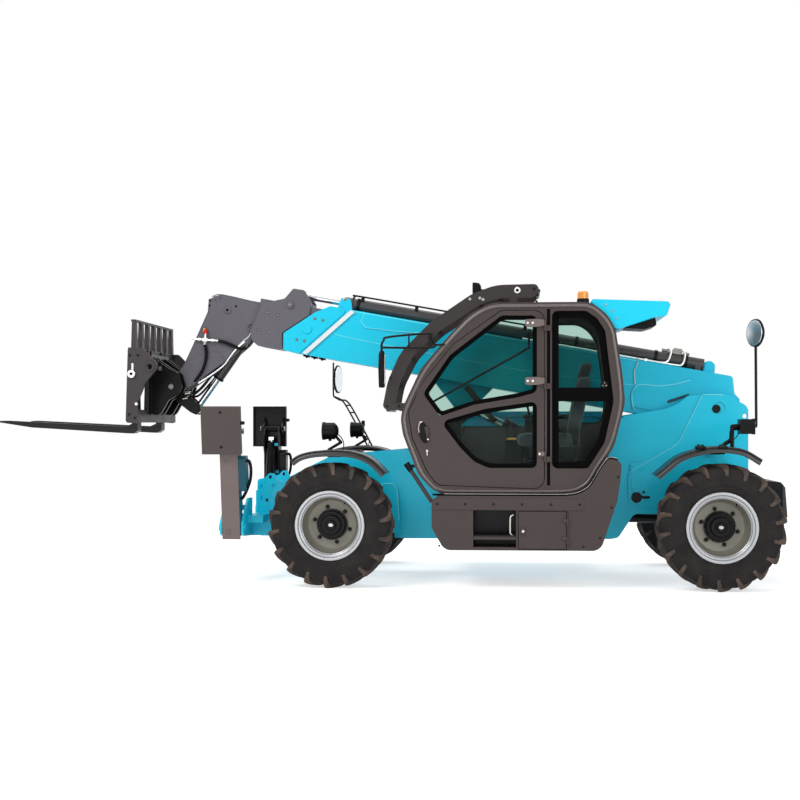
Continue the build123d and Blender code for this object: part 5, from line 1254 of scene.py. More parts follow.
def head_hoses():
    """The hoses and pipe along the head to the coupler, with the cuffs at their ends."""
    sleeve = (
        (-1120, -146, 2048), (-1060, -148, 2034), (-990, -146, 2006), (-924, -138, 1976),
        (-884, -118, 1990),
    )
    hose("head_hose_sleeve", "boom_inner", places(sleeve), 15)
    steel = (
        (-890, -120, 2040), (-960, -134, 1975), (-1010, -136, 1915), (-1075, -134, 1830),
        (-1191, -132, 1745), (-1300, -130, 1676),
    )
    hose("head_steel_pipe", "boom_inner", places(steel), 8, WHITE_METAL, "rod_chrome")
    drop = (
        (-1240, -146, 2014), (-1228, -146, 1960), (-1232, -144, 1880), (-1262, -140, 1790),
        (-1330, -134, 1690),
    )
    hose("head_drop_hose", "boom_inner", places(drop), 13)
    # A white bead along the head's polished rear edge: painted highlight.
    edge = (
        (-730, -120, 2345), (-780, -120, 2235), (-846, -120, 2096), (-894, -120, 2052),
        (-965, -120, 1985),
    )
    hose("head_edge_highlight", "boom_inner", places(edge), 5, WHITE_HIGHLIGHT, "rim_paint")
    routes = (
        (
            (-900, -74, 2060), (-1010, -76, 1950), (-1120, -78, 1830), (-1230, -80, 1700),
            (-1330, -78, 1600), (-1420, -76, 1590),
        ),
        (
            (-900, 74, 2060), (-1020, 76, 1940), (-1140, 78, 1800), (-1250, 80, 1670),
            (-1350, 78, 1570), (-1430, 76, 1570),
        ),
        (
            (-940, -72, 2070), (-1050, -84, 1960), (-1150, -100, 1800), (-1260, -104, 1650),
            (-1370, -100, 1560), (-1440, -78, 1548),
        ),
    )
    cuffs = Shape()
    for count, route in enumerate(routes):
        line = places(route)
        hose("head_hose_%d" % count, "boom_inner", line, 11 - count)
        away = (line[1] - line[0]).normalized()
        cuffs.cylinder(line[0] - away * 0.010, line[0] + away * 0.045, 0.014, 18)
        away = (line[-2] - line[-1]).normalized()
        cuffs.cylinder(line[-1] - away * 0.012, line[-1] + away * 0.040, 0.014, 18)
    cuffs.piece("head_hose_cuffs", "boom_inner", "rod_chrome", ZINC)


def tilt_gland():
    """The gland and the foot ring of the tilt cylinder's barrel."""
    gland = Shape()
    tilt_base = at(-830, 0, 2173)
    tilt_tip = at(-1345, 0, 1450)
    away = (tilt_tip - tilt_base).normalized()
    gland.revolve(
        [
            (0.540, 0.0455), (0.540, 0.051), (0.556, 0.051), (0.562, 0.044), (0.562, 0.0275),
            (0.5555, 0.0275), (0.5555, 0.0455),
        ],
        tilt_base, away, steps=36,
    )
    gland.revolve(
        [(0.080, 0.0455), (0.080, 0.050), (0.100, 0.050), (0.100, 0.0455)], tilt_base, away, steps=36,
    )
    gland.piece("tilt_gland", "tilt_barrel", "black_metal", BLACK)


head_fittings()
head_hoses()
tilt_gland()


# ---------------------------------------------------------------- carriage
def carriage_fittings():
    """Pins, rings and bolts of the carriage."""
    silver = Shape()
    grey = Shape()
    dark = Shape()
    for side in (-1, 1):
        outward = (0, side, 0)
        washer(silver, at(-1752, side * 664.2, 1742), outward, 0.013, 0.034, 0.008)
        disc(dark, at(-1752, side * 664.2, 1742), outward, 0.0128, 0.004, 24)
        sheet(
            silver, [(-1755, 1774), (-1755, 1834), (-1738, 1834), (-1738, 1774)], side * 645.2,
            side * 649.8, 6,
        )
        disc(silver, at(-1712, side * 650.2, 1488), outward, 0.014, 0.010, 20, 0.012)
        disc(grey, at(-1501, side * 300.3, 1642), outward, 0.026, 0.010, 28, 0.022)
        disc(grey, at(-1600, side * 300.3, 1800), outward, 0.020, 0.008, 28, 0.017)
        washer(grey, at(-1560, side * 176.3, 1643), outward, 0.020, 0.050, 0.006)
        for x, z in ((-1770, 1900), (-1700, 1900), (-1775, 1400), (-1725, 1370)):
            dark.bolt(at(x, side * 650.2, z), outward, 0.011)
        for y in (side * 336, side * 464):
            dark.cylinder(at(-1752, y - 8, 1742), at(-1752, y + 8, 1742), 0.050, 28)
    for y in (-400, 400):
        dark.cylinder(at(-1789, y, 1700), at(-1789, y, 1722), 0.013, 16)
        dark.revolve(
            [(0.0, 0.001), (0.0, 0.018), (0.012, 0.020), (0.020, 0.001)], at(-1789, y, 1720), (0, 0, 1),
            steps=20,
        )
    silver.piece("carriage_pin_rings", "carriage", "rod_chrome", WHITE_METAL)
    grey.piece("carriage_pin_caps", "carriage", "rod_chrome", BOLT_GREY)
    dark.piece("carriage_bolts", "carriage", "black_metal", BLACK)


carriage_fittings()


# ---------------------------------------------------------------- stabilisers
def leg_place(name, inward, up, x):
    """A point of a leg: inward and up from its pivot, in millimetres."""
    side = SIDES[name]
    pivot = Vector(JOINTS["leg_hinge_" + name]["pos_m"])
    foot = Vector(JOINTS["pad_hinge_" + name]["pos_m"])
    along = Vector((0, foot.y - pivot.y, foot.z - pivot.z)).normalized()
    inner = Vector((0, -along.z * side, along.y * side))
    point = pivot + along * (up * MM) + inner * (inward * MM)
    point.x = at(x, 0, 0).x
    return point


def leg_axis(name):
    """The way out from a leg's outer face."""
    return (leg_place(name, -100, 0, 0) - leg_place(name, 0, 0, 0)).normalized()


def stabiliser_fittings():
    """Nuts, pad marks, bolts, rear covers, clamps, glands and hoses of the stabilisers."""
    for name, side in SIDES.items():
        out = leg_axis(name)
        pad = Shape()
        for up in (690, 972):
            disc(pad, leg_place(name, -120.3, up, -827 - 45), out, 0.011, 0.002, 24)
        pad.cylinder(leg_place(name, -95, 883, -712.5), leg_place(name, -95, 883, -682), 0.016, 20, 0.013)
        pad.piece("pad_marks_" + name, "pad_" + name, "black_plastic", PLASTIC)
        pins = Shape()
        for x, way in ((-934, -1), (-720, 1)):
            pins.cylinder(
                leg_place(name, 0, 800, x + way * 2), leg_place(name, 0, 800, x + way * 10), 0.026, 6,
            )
        pins.piece("pad_pin_nuts_" + name, "pad_" + name, "rod_chrome", BOLT_GREY)
        leg = Shape()
        for up in (120, 300, 480):
            leg.bolt(leg_place(name, 20, up, -901.2), (-1, 0, 0), 0.010)
        disc(leg, leg_place(name, -60.3, -20, -850), out, 0.015, 0.010, 24)
        disc(leg, leg_place(name, -60.3, 560, -850), out, 0.010, 0.004, 24)
        leg.piece("leg_bolts_" + name, "leg_" + name, "teal_paint", LEG_GREY if side < 0 else BLACK)
        # The near leg's rear face is teal paint drawn dark as painted shade; on the far leg it is black like the
        # leg.
        cover = Shape()
        outline = rounded([(-58, 305), (30, 330), (56, 420), (56, 570), (20, 600), (-58, 600)], 30)
        cover.ring_loft([[leg_place(name, p.x, p.y, x) for p in outline] for x in (-752.8, -690)])
        lower = rounded([(-58, -60), (20, -60), (44, 60), (30, 304), (-58, 304)], 20)
        cover.ring_loft([[leg_place(name, p.x, p.y, x) for p in lower] for x in (-752.8, -748)])
        cover.piece(
            "leg_rear_cover_" + name, "leg_" + name, "teal_paint", TEAL_SHADE if side < 0 else BLACK,
        )
        clamp = Shape()
        for up in (380, 640):
            clamp.plate(
                [
                    leg_place(name, 60.5 if up < 560 else 105.5, up + a, x)
                    for a, x in ((0, -790), (26, -790), (26, -758), (0, -758))
                ],
                -out * 0.018,
            )
        clamp.piece("leg_hose_clamps_" + name, "leg_" + name, "teal_paint", TEAL)
        gland = Shape()
        base = at(-827, side * 700, 620)
        tip = leg_place(name, 70, 700, -827)
        away = (tip - base).normalized()
        inboard = Vector((0, -side, 0))
        inboard = (inboard - away * inboard.dot(away)).normalized()
        gland.revolve(
            [
                (0.520, 0.0385), (0.520, 0.043), (0.535, 0.043), (0.541, 0.038), (0.541, 0.0225),
                (0.5355, 0.0225), (0.5355, 0.0385),
            ],
            base, away, steps=32,
        )
        gland.revolve(
            [(0.075, 0.0385), (0.075, 0.042), (0.095, 0.042), (0.095, 0.0385)], base, away, steps=32,
        )
        for along_barrel in (0.110, 0.500):
            foot = base + away * along_barrel + inboard * 0.036
            gland.cylinder(foot, foot + inboard * 0.022, 0.011, 6)
        gland.piece("leg_barrel_gland_" + name, "leg_barrel_" + name, "black_metal", BLACK)
        for count, along_barrel in enumerate((0.110, 0.500)):
            start = base + away * along_barrel + inboard * 0.058
            aside = Vector((0.024 * (count - 0.5), 0, 0))
            line = [
                start, start + inboard * 0.026, start + inboard * 0.034 - away * 0.05 + aside,
                base + inboard * 0.088 + away * 0.02 + aside,
                base + inboard * 0.100 - away * 0.05 + aside,
            ]
            hose("leg_hose_%s_%d" % (name, count), "leg_barrel_" + name, line, 8)
        loom = ((560, -692), (556, -668), (500, -656), (410, -662), (330, -690), (262, -724), (244, -742))
        hose("leg_loom_" + name, "leg_" + name, [leg_place(name, -20, up, x) for up, x in loom], 13)
        mount = Shape()
        for x, z in ((-705, 790), (-705, 690), (-600, 800)):
            mount.bolt(at(x, side * 355.2, z), (0, side, 0), 0.014)
        for x, way in ((-926, -1), (-728, 1)):
            mount.cylinder(at(x, side * 940, 470), at(x + way * 9, side * 940, 470), 0.030, 24)
            mount.bolt(at(x, side * 900, 500), (way, 0, 0), 0.010)
            mount.cylinder(at(x, side * 700, 620), at(x + way * 9, side * 700, 620), 0.030, 24)
        mount.piece("stabiliser_pins_" + name, "machine", "teal_paint", TEAL)


stabiliser_fittings()


# ---------------------------------------------------------------- mirrors and lamps
def mirror_arms():
    """The arms of the cab mirror, the right fender's mirror and the rear mirror."""
    arms = Shape()
    top = 1955
    rails = (
        (
            (915, -1050, top), (905, -1078, top), (840, -1100, top), (812, -1136, top + 60),
            (790, -1142, top + 84), (480, -1170, top + 56), (440, -1172, top + 30),
            (424, -1174, top - 10), (424, -1175, 1890),
        ),
        ((840, -1100, top), (805, -1140, top - 28), (424, -1173, top - 28)),
        ((640, -1155, top + 70), (640, -1155, top - 28)),
        ((800, -1141, top + 84), (804, -1140, top - 28)),
    )
    for rail in rails:
        arms.pipe(places(rail), 0.009 if len(rail) > 2 else 0.007, 12)
    for y, apart in ((1062, -20), (1098, 20)):
        rod = (
            (85 + apart, y, 1078), (84 + apart, y, 1110), (60 + apart, y, 1160),
            (-125 + apart, y, 1500), (-200 + apart / 2, 1080 + apart / 2, 1550), (-262, 1080, 1582),
        )
        arms.pipe(places(rod), 0.008, 12)
    for x, z in ((43, 1196), (-20, 1310), (-85, 1426), (-125, 1495)):
        arms.cylinder(at(x - 20, 1062, z), at(x + 20, 1098, z), 0.007, 12)
    holder = (
        (-200, 1080, 1548), (-250, 1080, 1574), (-264, 1080, 1620), (-264, 1080, 1880),
        (-262, 1080, 1900),
    )
    arms.pipe(places(holder), 0.008, 12)
    rear_post = (
        (3386, -344, 1300), (3386, -800, 1300), (3386, -925, 1300), (3388, -948, 1322),
        (3387, -950, 1500), (3384, -950, 1940),
    )
    arms.pipe(places(rear_post), 0.011, 12)
    arms.block(at(10, 1052, 1290), at(40, 1108, 1350), 0.006)
    arms_piece = arms.piece("mirror_arms", "machine", "black_metal", BLACK, angle=50)
    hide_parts("mirrors")


def oval_rings(centre, facing, wide, tall, steps):
    """Oval rings round a facing line, one for each (depth, share of the full size)."""
    across = facing.cross(Vector((0, 0, 1))) * (wide * MM)
    up = Vector((0, 0, tall * MM))
    rings = []
    for depth, grow in steps:
        ring = []
        for k in range(48):
            turn = TAU * k / 48
            offset = across * math.cos(turn) + up * math.sin(turn)
            ring.append(centre + facing * depth + offset * grow)
        rings.append(ring)
    return rings


def mirror_heads():
    """The housings and faces of the three mirrors."""
    shells = Shape()
    housing = []
    for z, x_low, x_high, y_low, y_high in (
        (1608, 408, 442, -1196, -1154), (1616, 402, 450, -1204, -1146), (1760, 398, 450, -1208, -1142),
        (1880, 402, 450, -1204, -1146), (1902, 412, 440, -1192, -1158),
    ):
        loop = rounded([(x_low, y_low), (x_low, y_high), (x_high, y_high), (x_high, y_low)], 18)
        housing.append([at(p.x, p.y, z) for p in loop])
    shells.ring_loft(housing)
    glass = Shape()
    ring = rounded([(-1196, 1630), (-1196, 1876), (-1154, 1876), (-1154, 1630)], 14)
    glass.ring_loft([[at(x, p.x, p.y) for p in ring] for x in (450.3, 452.5)])
    # Oval and round mirrors: centre, facing, half width, half height.
    for centre, facing, wide, tall in (
        (at(-212, 1066, 1745), (0.92, -0.40, 0), 72, 132),
        (at(3376, -950, 2041), (-0.90, -0.44, 0), 108, 110),
    ):
        facing = Vector(facing).normalized()
        shell_steps = ((0.003, 1.0), (-0.012, 1.03), (-0.034, 0.8), (-0.044, 0.4))
        shells.ring_loft(oval_rings(centre, facing, wide, tall, shell_steps))
        face_steps = ((0.0033, 0.93), (0.006, 0.92), (0.010, 0.6), (0.012, 0.1))
        glass.ring_loft(oval_rings(centre, facing, wide, tall, face_steps))
    shells.piece("mirror_housings", "machine", "black_plastic", PLASTIC, angle=50)
    glass.piece("mirror_faces", "machine", "rod_chrome", MIRROR, angle=50)


def lamp_fittings():
    """Lenses, rims and wires of the head and tail lamps."""
    clear = Shape()
    rims = Shape()
    red = Shape()
    amber = Shape()
    for side in (-1, 1):
        lamp = at(-70.3, side * 950, 1262)
        clear.revolve(
            [(0.0, 0.0005), (0.0, 0.058), (0.004, 0.057), (0.014, 0.035), (0.017, 0.0005)], lamp,
            (-1, 0, 0), steps=40,
        )
        rims.revolve(
            [
                (-0.012, 0.0682), (-0.012, 0.073), (0.010, 0.073), (0.012, 0.062), (0.001, 0.0585),
                (0.001, 0.0682),
            ],
            lamp, (-1, 0, 0), steps=40,
        )
        rims.revolve(
            [(0.0905, 0.0005), (0.0905, 0.060), (0.104, 0.052), (0.118, 0.030), (0.122, 0.0005)],
            lamp, (1, 0, 0), steps=40,
        )
        rims.cylinder(at(-20, side * 950, 1180), at(-20, side * 950, 1196), 0.012, 16)
        for z, shape in ((1330, amber), (1299, red), (1262, clear)):
            shape.block(at(3372.3, side * 870, z - 13), at(3377, side * 990, z + 13), 0.003)
        rims.block(at(3366, side * 856, 1236), at(3373, side * 1004, 1362), 0.002)
    clear.piece("lamp_lenses", "machine", "black_plastic", CLEAR_LENS)
    red.piece("tail_lenses", "machine", "black_plastic", RED_LENS)
    amber.piece("turn_lenses", "machine", "black_plastic", BEACON)
    rims.piece("lamp_rims", "machine", "black_plastic", PLASTIC)
    for name, side in SIDES.items():
        front = (
            (20, side * 950, 1240), (62, side * 958, 1222), (92, side * 962, 1170),
            (88, side * 962, 1110), (66, side * 958, 1079),
        )
        hose("headlamp_wire_" + name, "machine", places(front), 4)
        rear = (
            (3262, side * 900, 1243), (3240, side * 902, 1215), (3210, side * 905, 1180),
            (3196, side * 905, 1130),
        )
        hose("tail_lamp_wire_" + name, "machine", places(rear), 4)


def fender_clamps():
    """The clamps and bolts that hold the fenders."""
    clamps = Shape()
    for x in (2930, 3100):
        for side in (-1, 1):
            clamps.block(at(x - 40, side * 1060, 1118), at(x + 40, side * 1150, 1150), 0.010)
            clamps.bolt(at(x - 14, side * 1118, 1150), (0, 0, 1), 0.013)
            clamps.bolt(at(x + 20, side * 1090, 1150), (0, 0, 1), 0.011)
    for x in (-60, 150):
        for side in (-1, 1):
            clamps.bolt(at(x, side * 1100, 1078), (0, 0, 1), 0.012)
            clamps.bolt(at(x, side * 900, 1078), (0, 0, 1), 0.012)
    clamps.piece("fender_clamps", "machine", "black_plastic", PLASTIC)


mirror_arms()
mirror_heads()
lamp_fittings()
fender_clamps()


# ---------------------------------------------------------------- fenders
# A fender's section: distance from the middle plane, height above the line along its top.
FENDER_SECTION = [
    (822, 0), (822, 14), (860, 18), (980, 20), (1100, 18), (1128, 12), (1146, 0), (1150, -14),
    (1148, -30), (1138, -31), (1134, -14), (1120, 0), (1100, 2), (860, 2),
]


def line_and_up(line):
    """Each point of a line in the XZ plane, with the upward direction square to the line there."""
    pairs = []
    for i, p in enumerate(line):
        ahead = (line[min(i + 1, len(line) - 1)] - line[max(i - 1, 0)]).normalized()
        up = Vector((-ahead.z, 0, ahead.x))
        pairs.append((p, -up if up.z < 0 else up))
    return pairs


def smooth_fenders():
    """Curved fenders with a rolled outer edge and beads, and the stays and arms under them."""
    shells = Shape()
    beads = Shape()
    stays = Shape()
    rear_x = (REAR_AXLE_X - AXLE_X) / MM
    front_top = [
        (-306, 1008), (-240, 1052), (-130, 1080), (40, 1090), (200, 1074), (330, 1020), (440, 915),
    ]
    rear_top = [
        (rear_x - 506, 905), (rear_x - 440, 960), (rear_x - 330, 1048), (rear_x - 190, 1100),
        (rear_x - 60, 1122), (rear_x + 70, 1118), (rear_x + 180, 1092), (rear_x + 298, 1022),
    ]
    for side in SIDES.values():
        for top in (front_top, rear_top):
            line = line_and_up(smooth_line([Vector((x, 0, z)) for x, z in top], 6))
            sections = []
            for p, up in line:
                section = [at(p.x + up.x * v, side * y, p.z + up.z * v) for y, v in FENDER_SECTION]
                sections.append(section)
            shells.ring_loft(sections)
            for y, radius in ((1132, 7), (990, 5), (850, 5)):
                bead = [at(p.x + up.x * 15, side * y, p.z + up.z * 15) for p, up in line]
                beads.pipe(bead, radius * MM, 10, 1)
        stays.block(at(-60, side * 500, 1046), at(60, side * 860, 1076), 0.006)
        stays.block(at(rear_x - 60, side * 345.5, 1074), at(rear_x + 60, side * 860, 1106), 0.006)
        for x in (rear_x - 175, rear_x - 5):
            stays.bolt(at(x, side * 1100, 1134), (0, 0, 1), 0.016)
        arm = ((3128, 1128), (3150, 1160), (3196, 1196), (3204, 1262), (3222, 1284), (3262, 1284))
        stays.pipe([at(x, side * 905, z) for x, z in arm], 0.017, 14)
    shells_piece = shells.piece("fender_shells", "machine", "black_plastic", FENDER_BLACK, angle=50)
    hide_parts("fenders")
    beads.piece("fender_beads", "machine", "black_plastic", FENDER_BLACK, angle=60)
    stays.piece("fender_stays", "machine", "black_metal", BLACK, angle=50)


smooth_fenders()


# ---------------------------------------------------------------- the cab's far window
def far_window():
    """The cab's far rear window, cut in its wall, with its pane."""
    source = frame["nodes"]["cab_shell"]
    outline = rounded(
        [
            (1790, 1330), (1790, 2150), (2010, 2150), (2100, 2090), (2160, 1990), (2226, 1500),
            (2196, 1330),
        ],
        60,
    )
    wall_y = (CAB_FAR_Y / MM - 45, CAB_FAR_Y / MM)
    cutter_shape = Shape()
    cutter_shape.ring_loft([[at(p.x, y, p.y) for p in outline] for y in (wall_y[0] - 20, wall_y[1] + 20)])
    bmesh.ops.recalc_face_normals(cutter_shape.bm, faces=cutter_shape.bm.faces)
    cutter_mesh = bpy.data.meshes.new("far_window_cutter")
    cutter_shape.bm.to_mesh(cutter_mesh)
    cutter = bpy.data.objects.new("far_window_cutter", cutter_mesh)
    bpy.context.scene.collection.objects.link(cutter)
    shell = bpy.data.objects.new("shell_source", source.data.copy())
    bpy.context.scene.collection.objects.link(shell)
    shell.data.transform(source.matrix_world)
    weld = shell.modifiers.new("weld", "WELD")
    weld.merge_threshold = 1e-5
    cut = shell.modifiers.new("cut", "BOOLEAN")
    cut.object = cutter
    cut.operation = "DIFFERENCE"
    cut.solver = "EXACT"
    graph = bpy.context.evaluated_depsgraph_get()
    mesh = bpy.data.meshes.new_from_object(shell.evaluated_get(graph))
    for helper in (shell, cutter):
        bpy.data.objects.remove(helper)
    piece = finish_piece("cab_shell_windowed", mesh, "machine", DARK)
    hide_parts("cab_shell")
    pane_shape = Shape()
    grown = drawn_in(outline, -12)
    pane_shape.ring_loft([[at(p.x, y, p.y) for p in grown] for y in (wall_y[0] - 6.5, wall_y[0] - 0.5)])
    pane_shape.piece("far_rear_pane", "machine", "glass_tint", GLASS)


far_window()


# ---------------------------------------------------------------- step box, chassis and bonnet
# The step box's outer face.
BOX_Y = -1120.0


def skirt_fittings():
    """The step box's bolts, rubber edge with a thin bright line as its painted highlight, liner, serrated tread,
    grab handle, lock and long hinge.
    """
    bolts = Shape()
    for x, z in ((865, 682), (1086, 682), (1310, 682), (1537, 682), (1765, 682), (1990, 682)):
        bolts.bolt(at(x, BOX_Y - 7.2, z), (0, -1, 0), 0.010)
    for x, z in ((2150, 420), (2240, 660), (2290, 900), (880, 350), (2020, 350)):
        bolts.bolt(at(x, BOX_Y - 0.2, z), (0, -1, 0), 0.009)
    bolts.piece("skirt_bolts", "machine", "black_metal", BLACK)
    edge = [
        (832, 757), (918, 756), (1784, 756), (1900, 760), (1972, 772), (2030, 800), (2075, 840),
        (2134, 940), (2180, 1010), (2222, 1050), (2290, 1040),
    ]
    hose("skirt_edge", "machine", [at(x, BOX_Y + 2, z) for x, z in edge], 8, SEAL)
    # A thin polished line just above the rubber edge: painted highlight.
    shine = [(x + 1, z + 7) for x, z in edge[1:]]
    hose("skirt_edge_highlight", "machine", [at(x, BOX_Y - 3, z) for x, z in shine], 2.4, ZINC, "rod_chrome")
    liner = Shape()
    liner.block(at(1150.5, BOX_Y + 276, 340.5), at(1489.5, BOX_Y + 279.5, 633.5))
    for low, high in ((1150.3, 1152.5), (1487.5, 1489.7)):
        liner.block(at(low, BOX_Y + 1, 340.5), at(high, BOX_Y + 276, 633.5))
    liner.block(at(1152.5, BOX_Y + 1, 631.5), at(1487.5, BOX_Y + 276, 633.7))
    liner.piece("step_liner", "machine", "black_metal", BLACK)
    tread = Shape()
    tread.block(at(1153, BOX_Y + 2, 425.3), at(1487, BOX_Y + 258, 429))
    for i in range(21):
        x = 1160 + i * 16
        tread.plate(
            [at(x - 6, BOX_Y + 2, 429), at(x + 6, BOX_Y + 2, 429), at(x, BOX_Y + 2, 442)], (0, 0.003, 0),
        )
        for row in range(4):
            washer(
                tread, at(x, BOX_Y + 40 + row * 56 + (i % 2) * 28, 429), (0, 0, 1), 0.004, 0.0068, 0.003,
                12,
            )
    tread.piece("step_tread", "machine", "black_metal", FORK_STEEL)
    grab = Shape()
    handle = (
        (1487, -1086, 596), (1462, -1100, 596), (1446, -1106, 580), (1443, -1108, 540),
        (1443, -1108, 470), (1446, -1106, 448), (1462, -1100, 434), (1487, -1086, 434),
    )
    grab.pipe(places(handle), 0.008, 12)
    grab.piece("step_grab_handle", "machine", "rod_chrome", ZINC)
    lock = Shape()
    disc(lock, at(1545, BOX_Y - 14.2, 470), (0, -1, 0), 0.013, 0.006, 24, 0.011)
    lock.piece("storage_lock", "storage_door", "rod_chrome", ZINC)
    hinge = Shape()
    for i in range(12):
        z = 336 + i * 24
        if 390 < z < 436 or 530 < z < 576:
            continue
        hinge.cylinder(at(1894, BOX_Y - 6, z), at(1894, BOX_Y - 6, z + 22), 0.0055, 14)
    hinge.block(at(1900, BOX_Y - 2.5, 334), at(1922, BOX_Y - 0.2, 626))
    for z in (350, 460, 600):
        disc(hinge, at(1911, BOX_Y - 2.5, z), (0, -1, 0), 0.005, 0.002, 14)
    hinge.piece("storage_long_hinge", "machine", "dark_paint", DARK)


def chassis_fittings():
    """Pin caps, cover plates, weld lines and tail fittings, and the slats of the engine pod. The weld lines are a
    lighter teal as painted highlight.
    """
    caps = Shape()
    for side in (-1, 1):
        outward = (0, side, 0)
        disc(caps, at(3160, side * 344.2, 1445), outward, 0.036, 0.008, 32, 0.033)
        for i in range(4):
            turn = TAU * (i + 0.5) / 4
            caps.bolt(
                at(3160 + 24 * math.cos(turn), side * 352.2, 1445 + 24 * math.sin(turn)), outward, 0.007,
            )
        disc(caps, at(2500, side * 344.2, 700), outward, 0.046, 0.008, 32, 0.043)
        caps.bolt(at(2560, side * 344.2, 745), outward, 0.013)
        caps.block(at(2545, side * 344.2, 690), at(2610, side * 352, 712), 0.002)
    caps.piece("pivot_caps", "machine", "black_metal", BLACK)
    plates = Shape()
    for side in (-1, 1):
        outline = [(2444, 990), (2452, 830), (2462, 748), (2520, 738), (2560, 930), (2540, 1000)]
        sheet(plates, outline, side * 344.2, side * 348, 18)
        for x, z in ((2462, 965), (2470, 770), (2536, 925)):
            plates.bolt(at(x, side * 348, z), (0, side, 0), 0.008)
        sheet(plates, [(3050, 700), (3050, 760), (3380, 760), (3380, 700)], side * 344.2, side * 350, 12)
    plates.piece("chassis_plates", "machine", "teal_paint", TEAL)
    # Weld lines along the side plates, in the lighter teal: painted highlight.
    lines = Shape()
    for side in (-1, 1):
        rear_line = (
            (2432, 906), (2640, 1030), (2830, 1146), (2866, 1196), (2960, 1390), (3036, 1540),
            (3070, 1562), (3220, 1562),
        )
        lines.pipe([at(x, side * 344.5, z) for x, z in rear_line], 0.0045, 8, 4)
        front_line = ((338, 640), (342, 790), (362, 806), (428, 810), (452, 796), (478, 735), (494, 500))
        lines.pipe([at(x, side * 344.5, z) for x, z in front_line], 0.0045, 8, 4)
    lines.piece("chassis_weld_highlights", "machine", "teal_paint", TEAL_HIGHLIGHT, angle=60)
    tail = Shape()
    for y in (-240, -80, 80, 240):
        tail.bolt(at(3424.3, y, 930), (1, 0, 0), 0.020)
        tail.bolt(at(3424.3, y, 1010), (1, 0, 0), 0.020)
    tail.block(at(3690, -60, 640), at(3706, 60, 700), 0.006)
    tail.revolve(
        [(0.0, 0.028), (0.0, 0.045), (0.02, 0.045), (0.02, 0.028)], at(3704, 0, 670), (1, 0, 0), steps=32,
    )
    tail.piece("tail_fittings", "machine", "black_metal", BLACK)
    grille = Shape()
    slats = Shape()
    for low, high in ((980, 1360), (1430, 1810), (1880, 2170)):
        grille.block(at(low, 1120.2, 1012), at(high, 1122, 1206))
        for i in range(9):
            z = 1022 + i * 21
            slats.plate(
                [
                    at(low + 6, 1122, z), at(low + 6, 1132, z + 3), at(low + 6, 1132, z + 6),
                    at(low + 6, 1122, z + 13),
                ],
                ((high - low - 12) * MM, 0, 0),
            )
    grille.piece("bonnet_grille", "bonnet", "black_plastic", SEAL)
    slats.piece("bonnet_slats", "bonnet", "black_metal", BLACK)
    catches = Shape()
    for x in (1200, 1950):
        catches.block(at(x - 24, 1120.2, 988), at(x + 24, 1130, 1004), 0.003)
    catches.piece("bonnet_catches", "bonnet", "black_plastic", PLASTIC)


skirt_fittings()
chassis_fittings()


# ---------------------------------------------------------------- stage, light and camera
def shown_rays(tree):
    """A node that is 1 for camera, transmission and glossy rays, and 0 for the rest."""
    rays = tree.nodes.new("ShaderNodeLightPath")
    seen = tree.nodes.new("ShaderNodeMath")
    seen.operation = "MAXIMUM"
    tree.links.new(rays.outputs["Is Camera Ray"], seen.inputs[0])
    tree.links.new(rays.outputs["Is Transmission Ray"], seen.inputs[1])
    shown = tree.nodes.new("ShaderNodeMath")
    shown.operation = "MAXIMUM"
    tree.links.new(seen.outputs[0], shown.inputs[0])
    tree.links.new(rays.outputs["Is Glossy Ray"], shown.inputs[1])
    return shown


floor_mesh = Shape().block((-40, -40, -0.02), (40, 40, 0.0)).mesh("floor")
floor = bpy.data.objects.new("floor", floor_mesh)
bpy.context.scene.collection.objects.link(floor)
floor_nodes = Nodes("floor_white")
floor_nodes.shader.inputs["Base Color"].default_value = (0.86, 0.86, 0.86, 1)
floor_nodes.shader.inputs["Roughness"].default_value = 0.9
floor_glow = floor_nodes.new("ShaderNodeEmission")
floor_level = floor_nodes.tree.nodes.new("ShaderNodeMath")
floor_level.operation = "MULTIPLY"
floor_level.inputs[1].default_value = FLOOR_GLOW
floor_nodes.link(shown_rays(floor_nodes.tree), "Value", floor_level, 0)
floor_nodes.link(floor_level, "Value", floor_glow, "Strength")
floor_sum = floor_nodes.tree.nodes.new("ShaderNodeAddShader")
floor_nodes.link(floor_nodes.shader, "BSDF", floor_sum, 0)
floor_nodes.link(floor_glow, "Emission", floor_sum, 1)
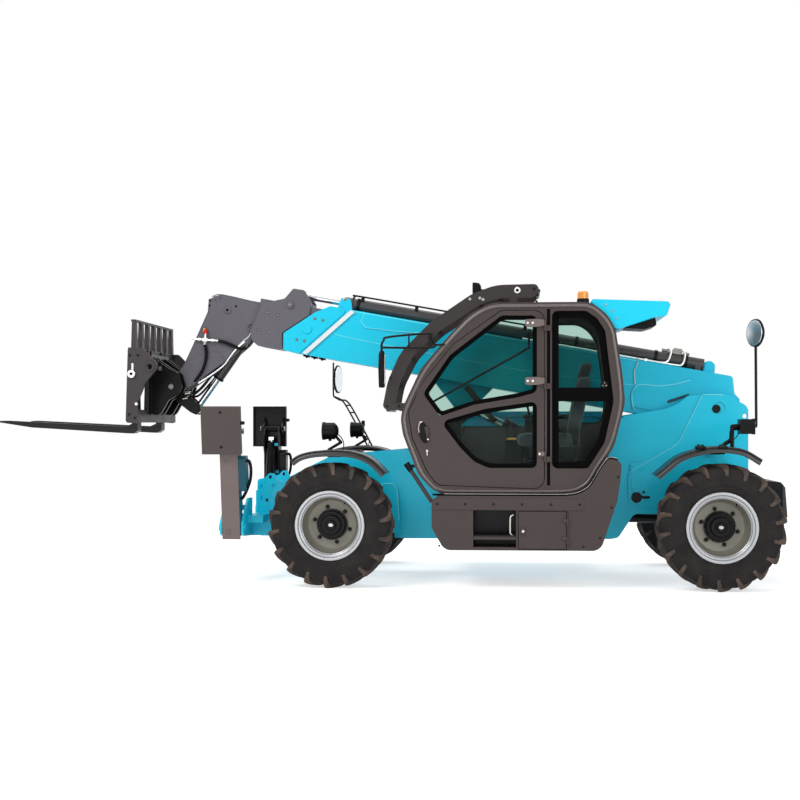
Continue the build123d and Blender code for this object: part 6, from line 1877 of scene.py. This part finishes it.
floor_nodes.link(floor_sum, "Shader", floor_nodes.output, "Surface")
give(floor, floor_nodes.material)

world = bpy.data.worlds.new("studio")
bpy.context.scene.world = world
world.use_nodes = True
tree = world.node_tree
tree.nodes.clear()
world_out = tree.nodes.new("ShaderNodeOutputWorld")
dim = tree.nodes.new("ShaderNodeBackground")
dim.inputs["Color"].default_value = (1, 1, 1, 1)
dim.inputs["Strength"].default_value = ROOM_GLOW
bright = tree.nodes.new("ShaderNodeBackground")
bright.inputs["Color"].default_value = (1, 1, 1, 1)
bright.inputs["Strength"].default_value = 1.0
mix = tree.nodes.new("ShaderNodeMixShader")
tree.links.new(shown_rays(tree).outputs[0], mix.inputs["Fac"])
tree.links.new(dim.outputs[0], mix.inputs[1])
tree.links.new(bright.outputs[0], mix.inputs[2])
tree.links.new(mix.outputs[0], world_out.inputs["Surface"])


def area_light(name, place, aim, size, power, shine=1.0):
    """A rectangular lamp at a place, turned to its aim."""
    data = bpy.data.lights.new(name, "AREA")
    data.shape = "RECTANGLE"
    data.size, data.size_y = size
    data.energy = power
    data.specular_factor = shine
    obj = bpy.data.objects.new(name, data)
    obj.location = place
    obj.rotation_euler = (Vector(aim) - Vector(place)).to_track_quat("-Z", "Y").to_euler()
    bpy.context.scene.collection.objects.link(obj)


area_light("key", (-4.5, -6.5, 7.5), (0, 0, 1.2), (5, 4), 500)
area_light("fill", (6.0, -7.0, 3.2), (0.5, 0, 1.0), (5, 4), 205, 0.5)
area_light("low", (-1.0, -8.0, 0.9), (0, 0, 0.9), (6, 1.2), 60, 0.0)
area_light("top", (0, 1.0, 8.5), (0, 0, 0), (7, 5), 260)

camera_data = bpy.data.cameras.new("camera")
camera = bpy.data.objects.new("camera", camera_data)
camera.location = at(1513, -12210, 1335)
camera.rotation_euler = (math.radians(90), 0, math.radians(4.88))
camera_data.lens = 62.73
camera_data.sensor_width = 36
camera_data.shift_y = 0.0275
bpy.context.scene.collection.objects.link(camera)
bpy.context.scene.camera = camera

view = bpy.context.scene.view_settings
view.view_transform = "Standard"
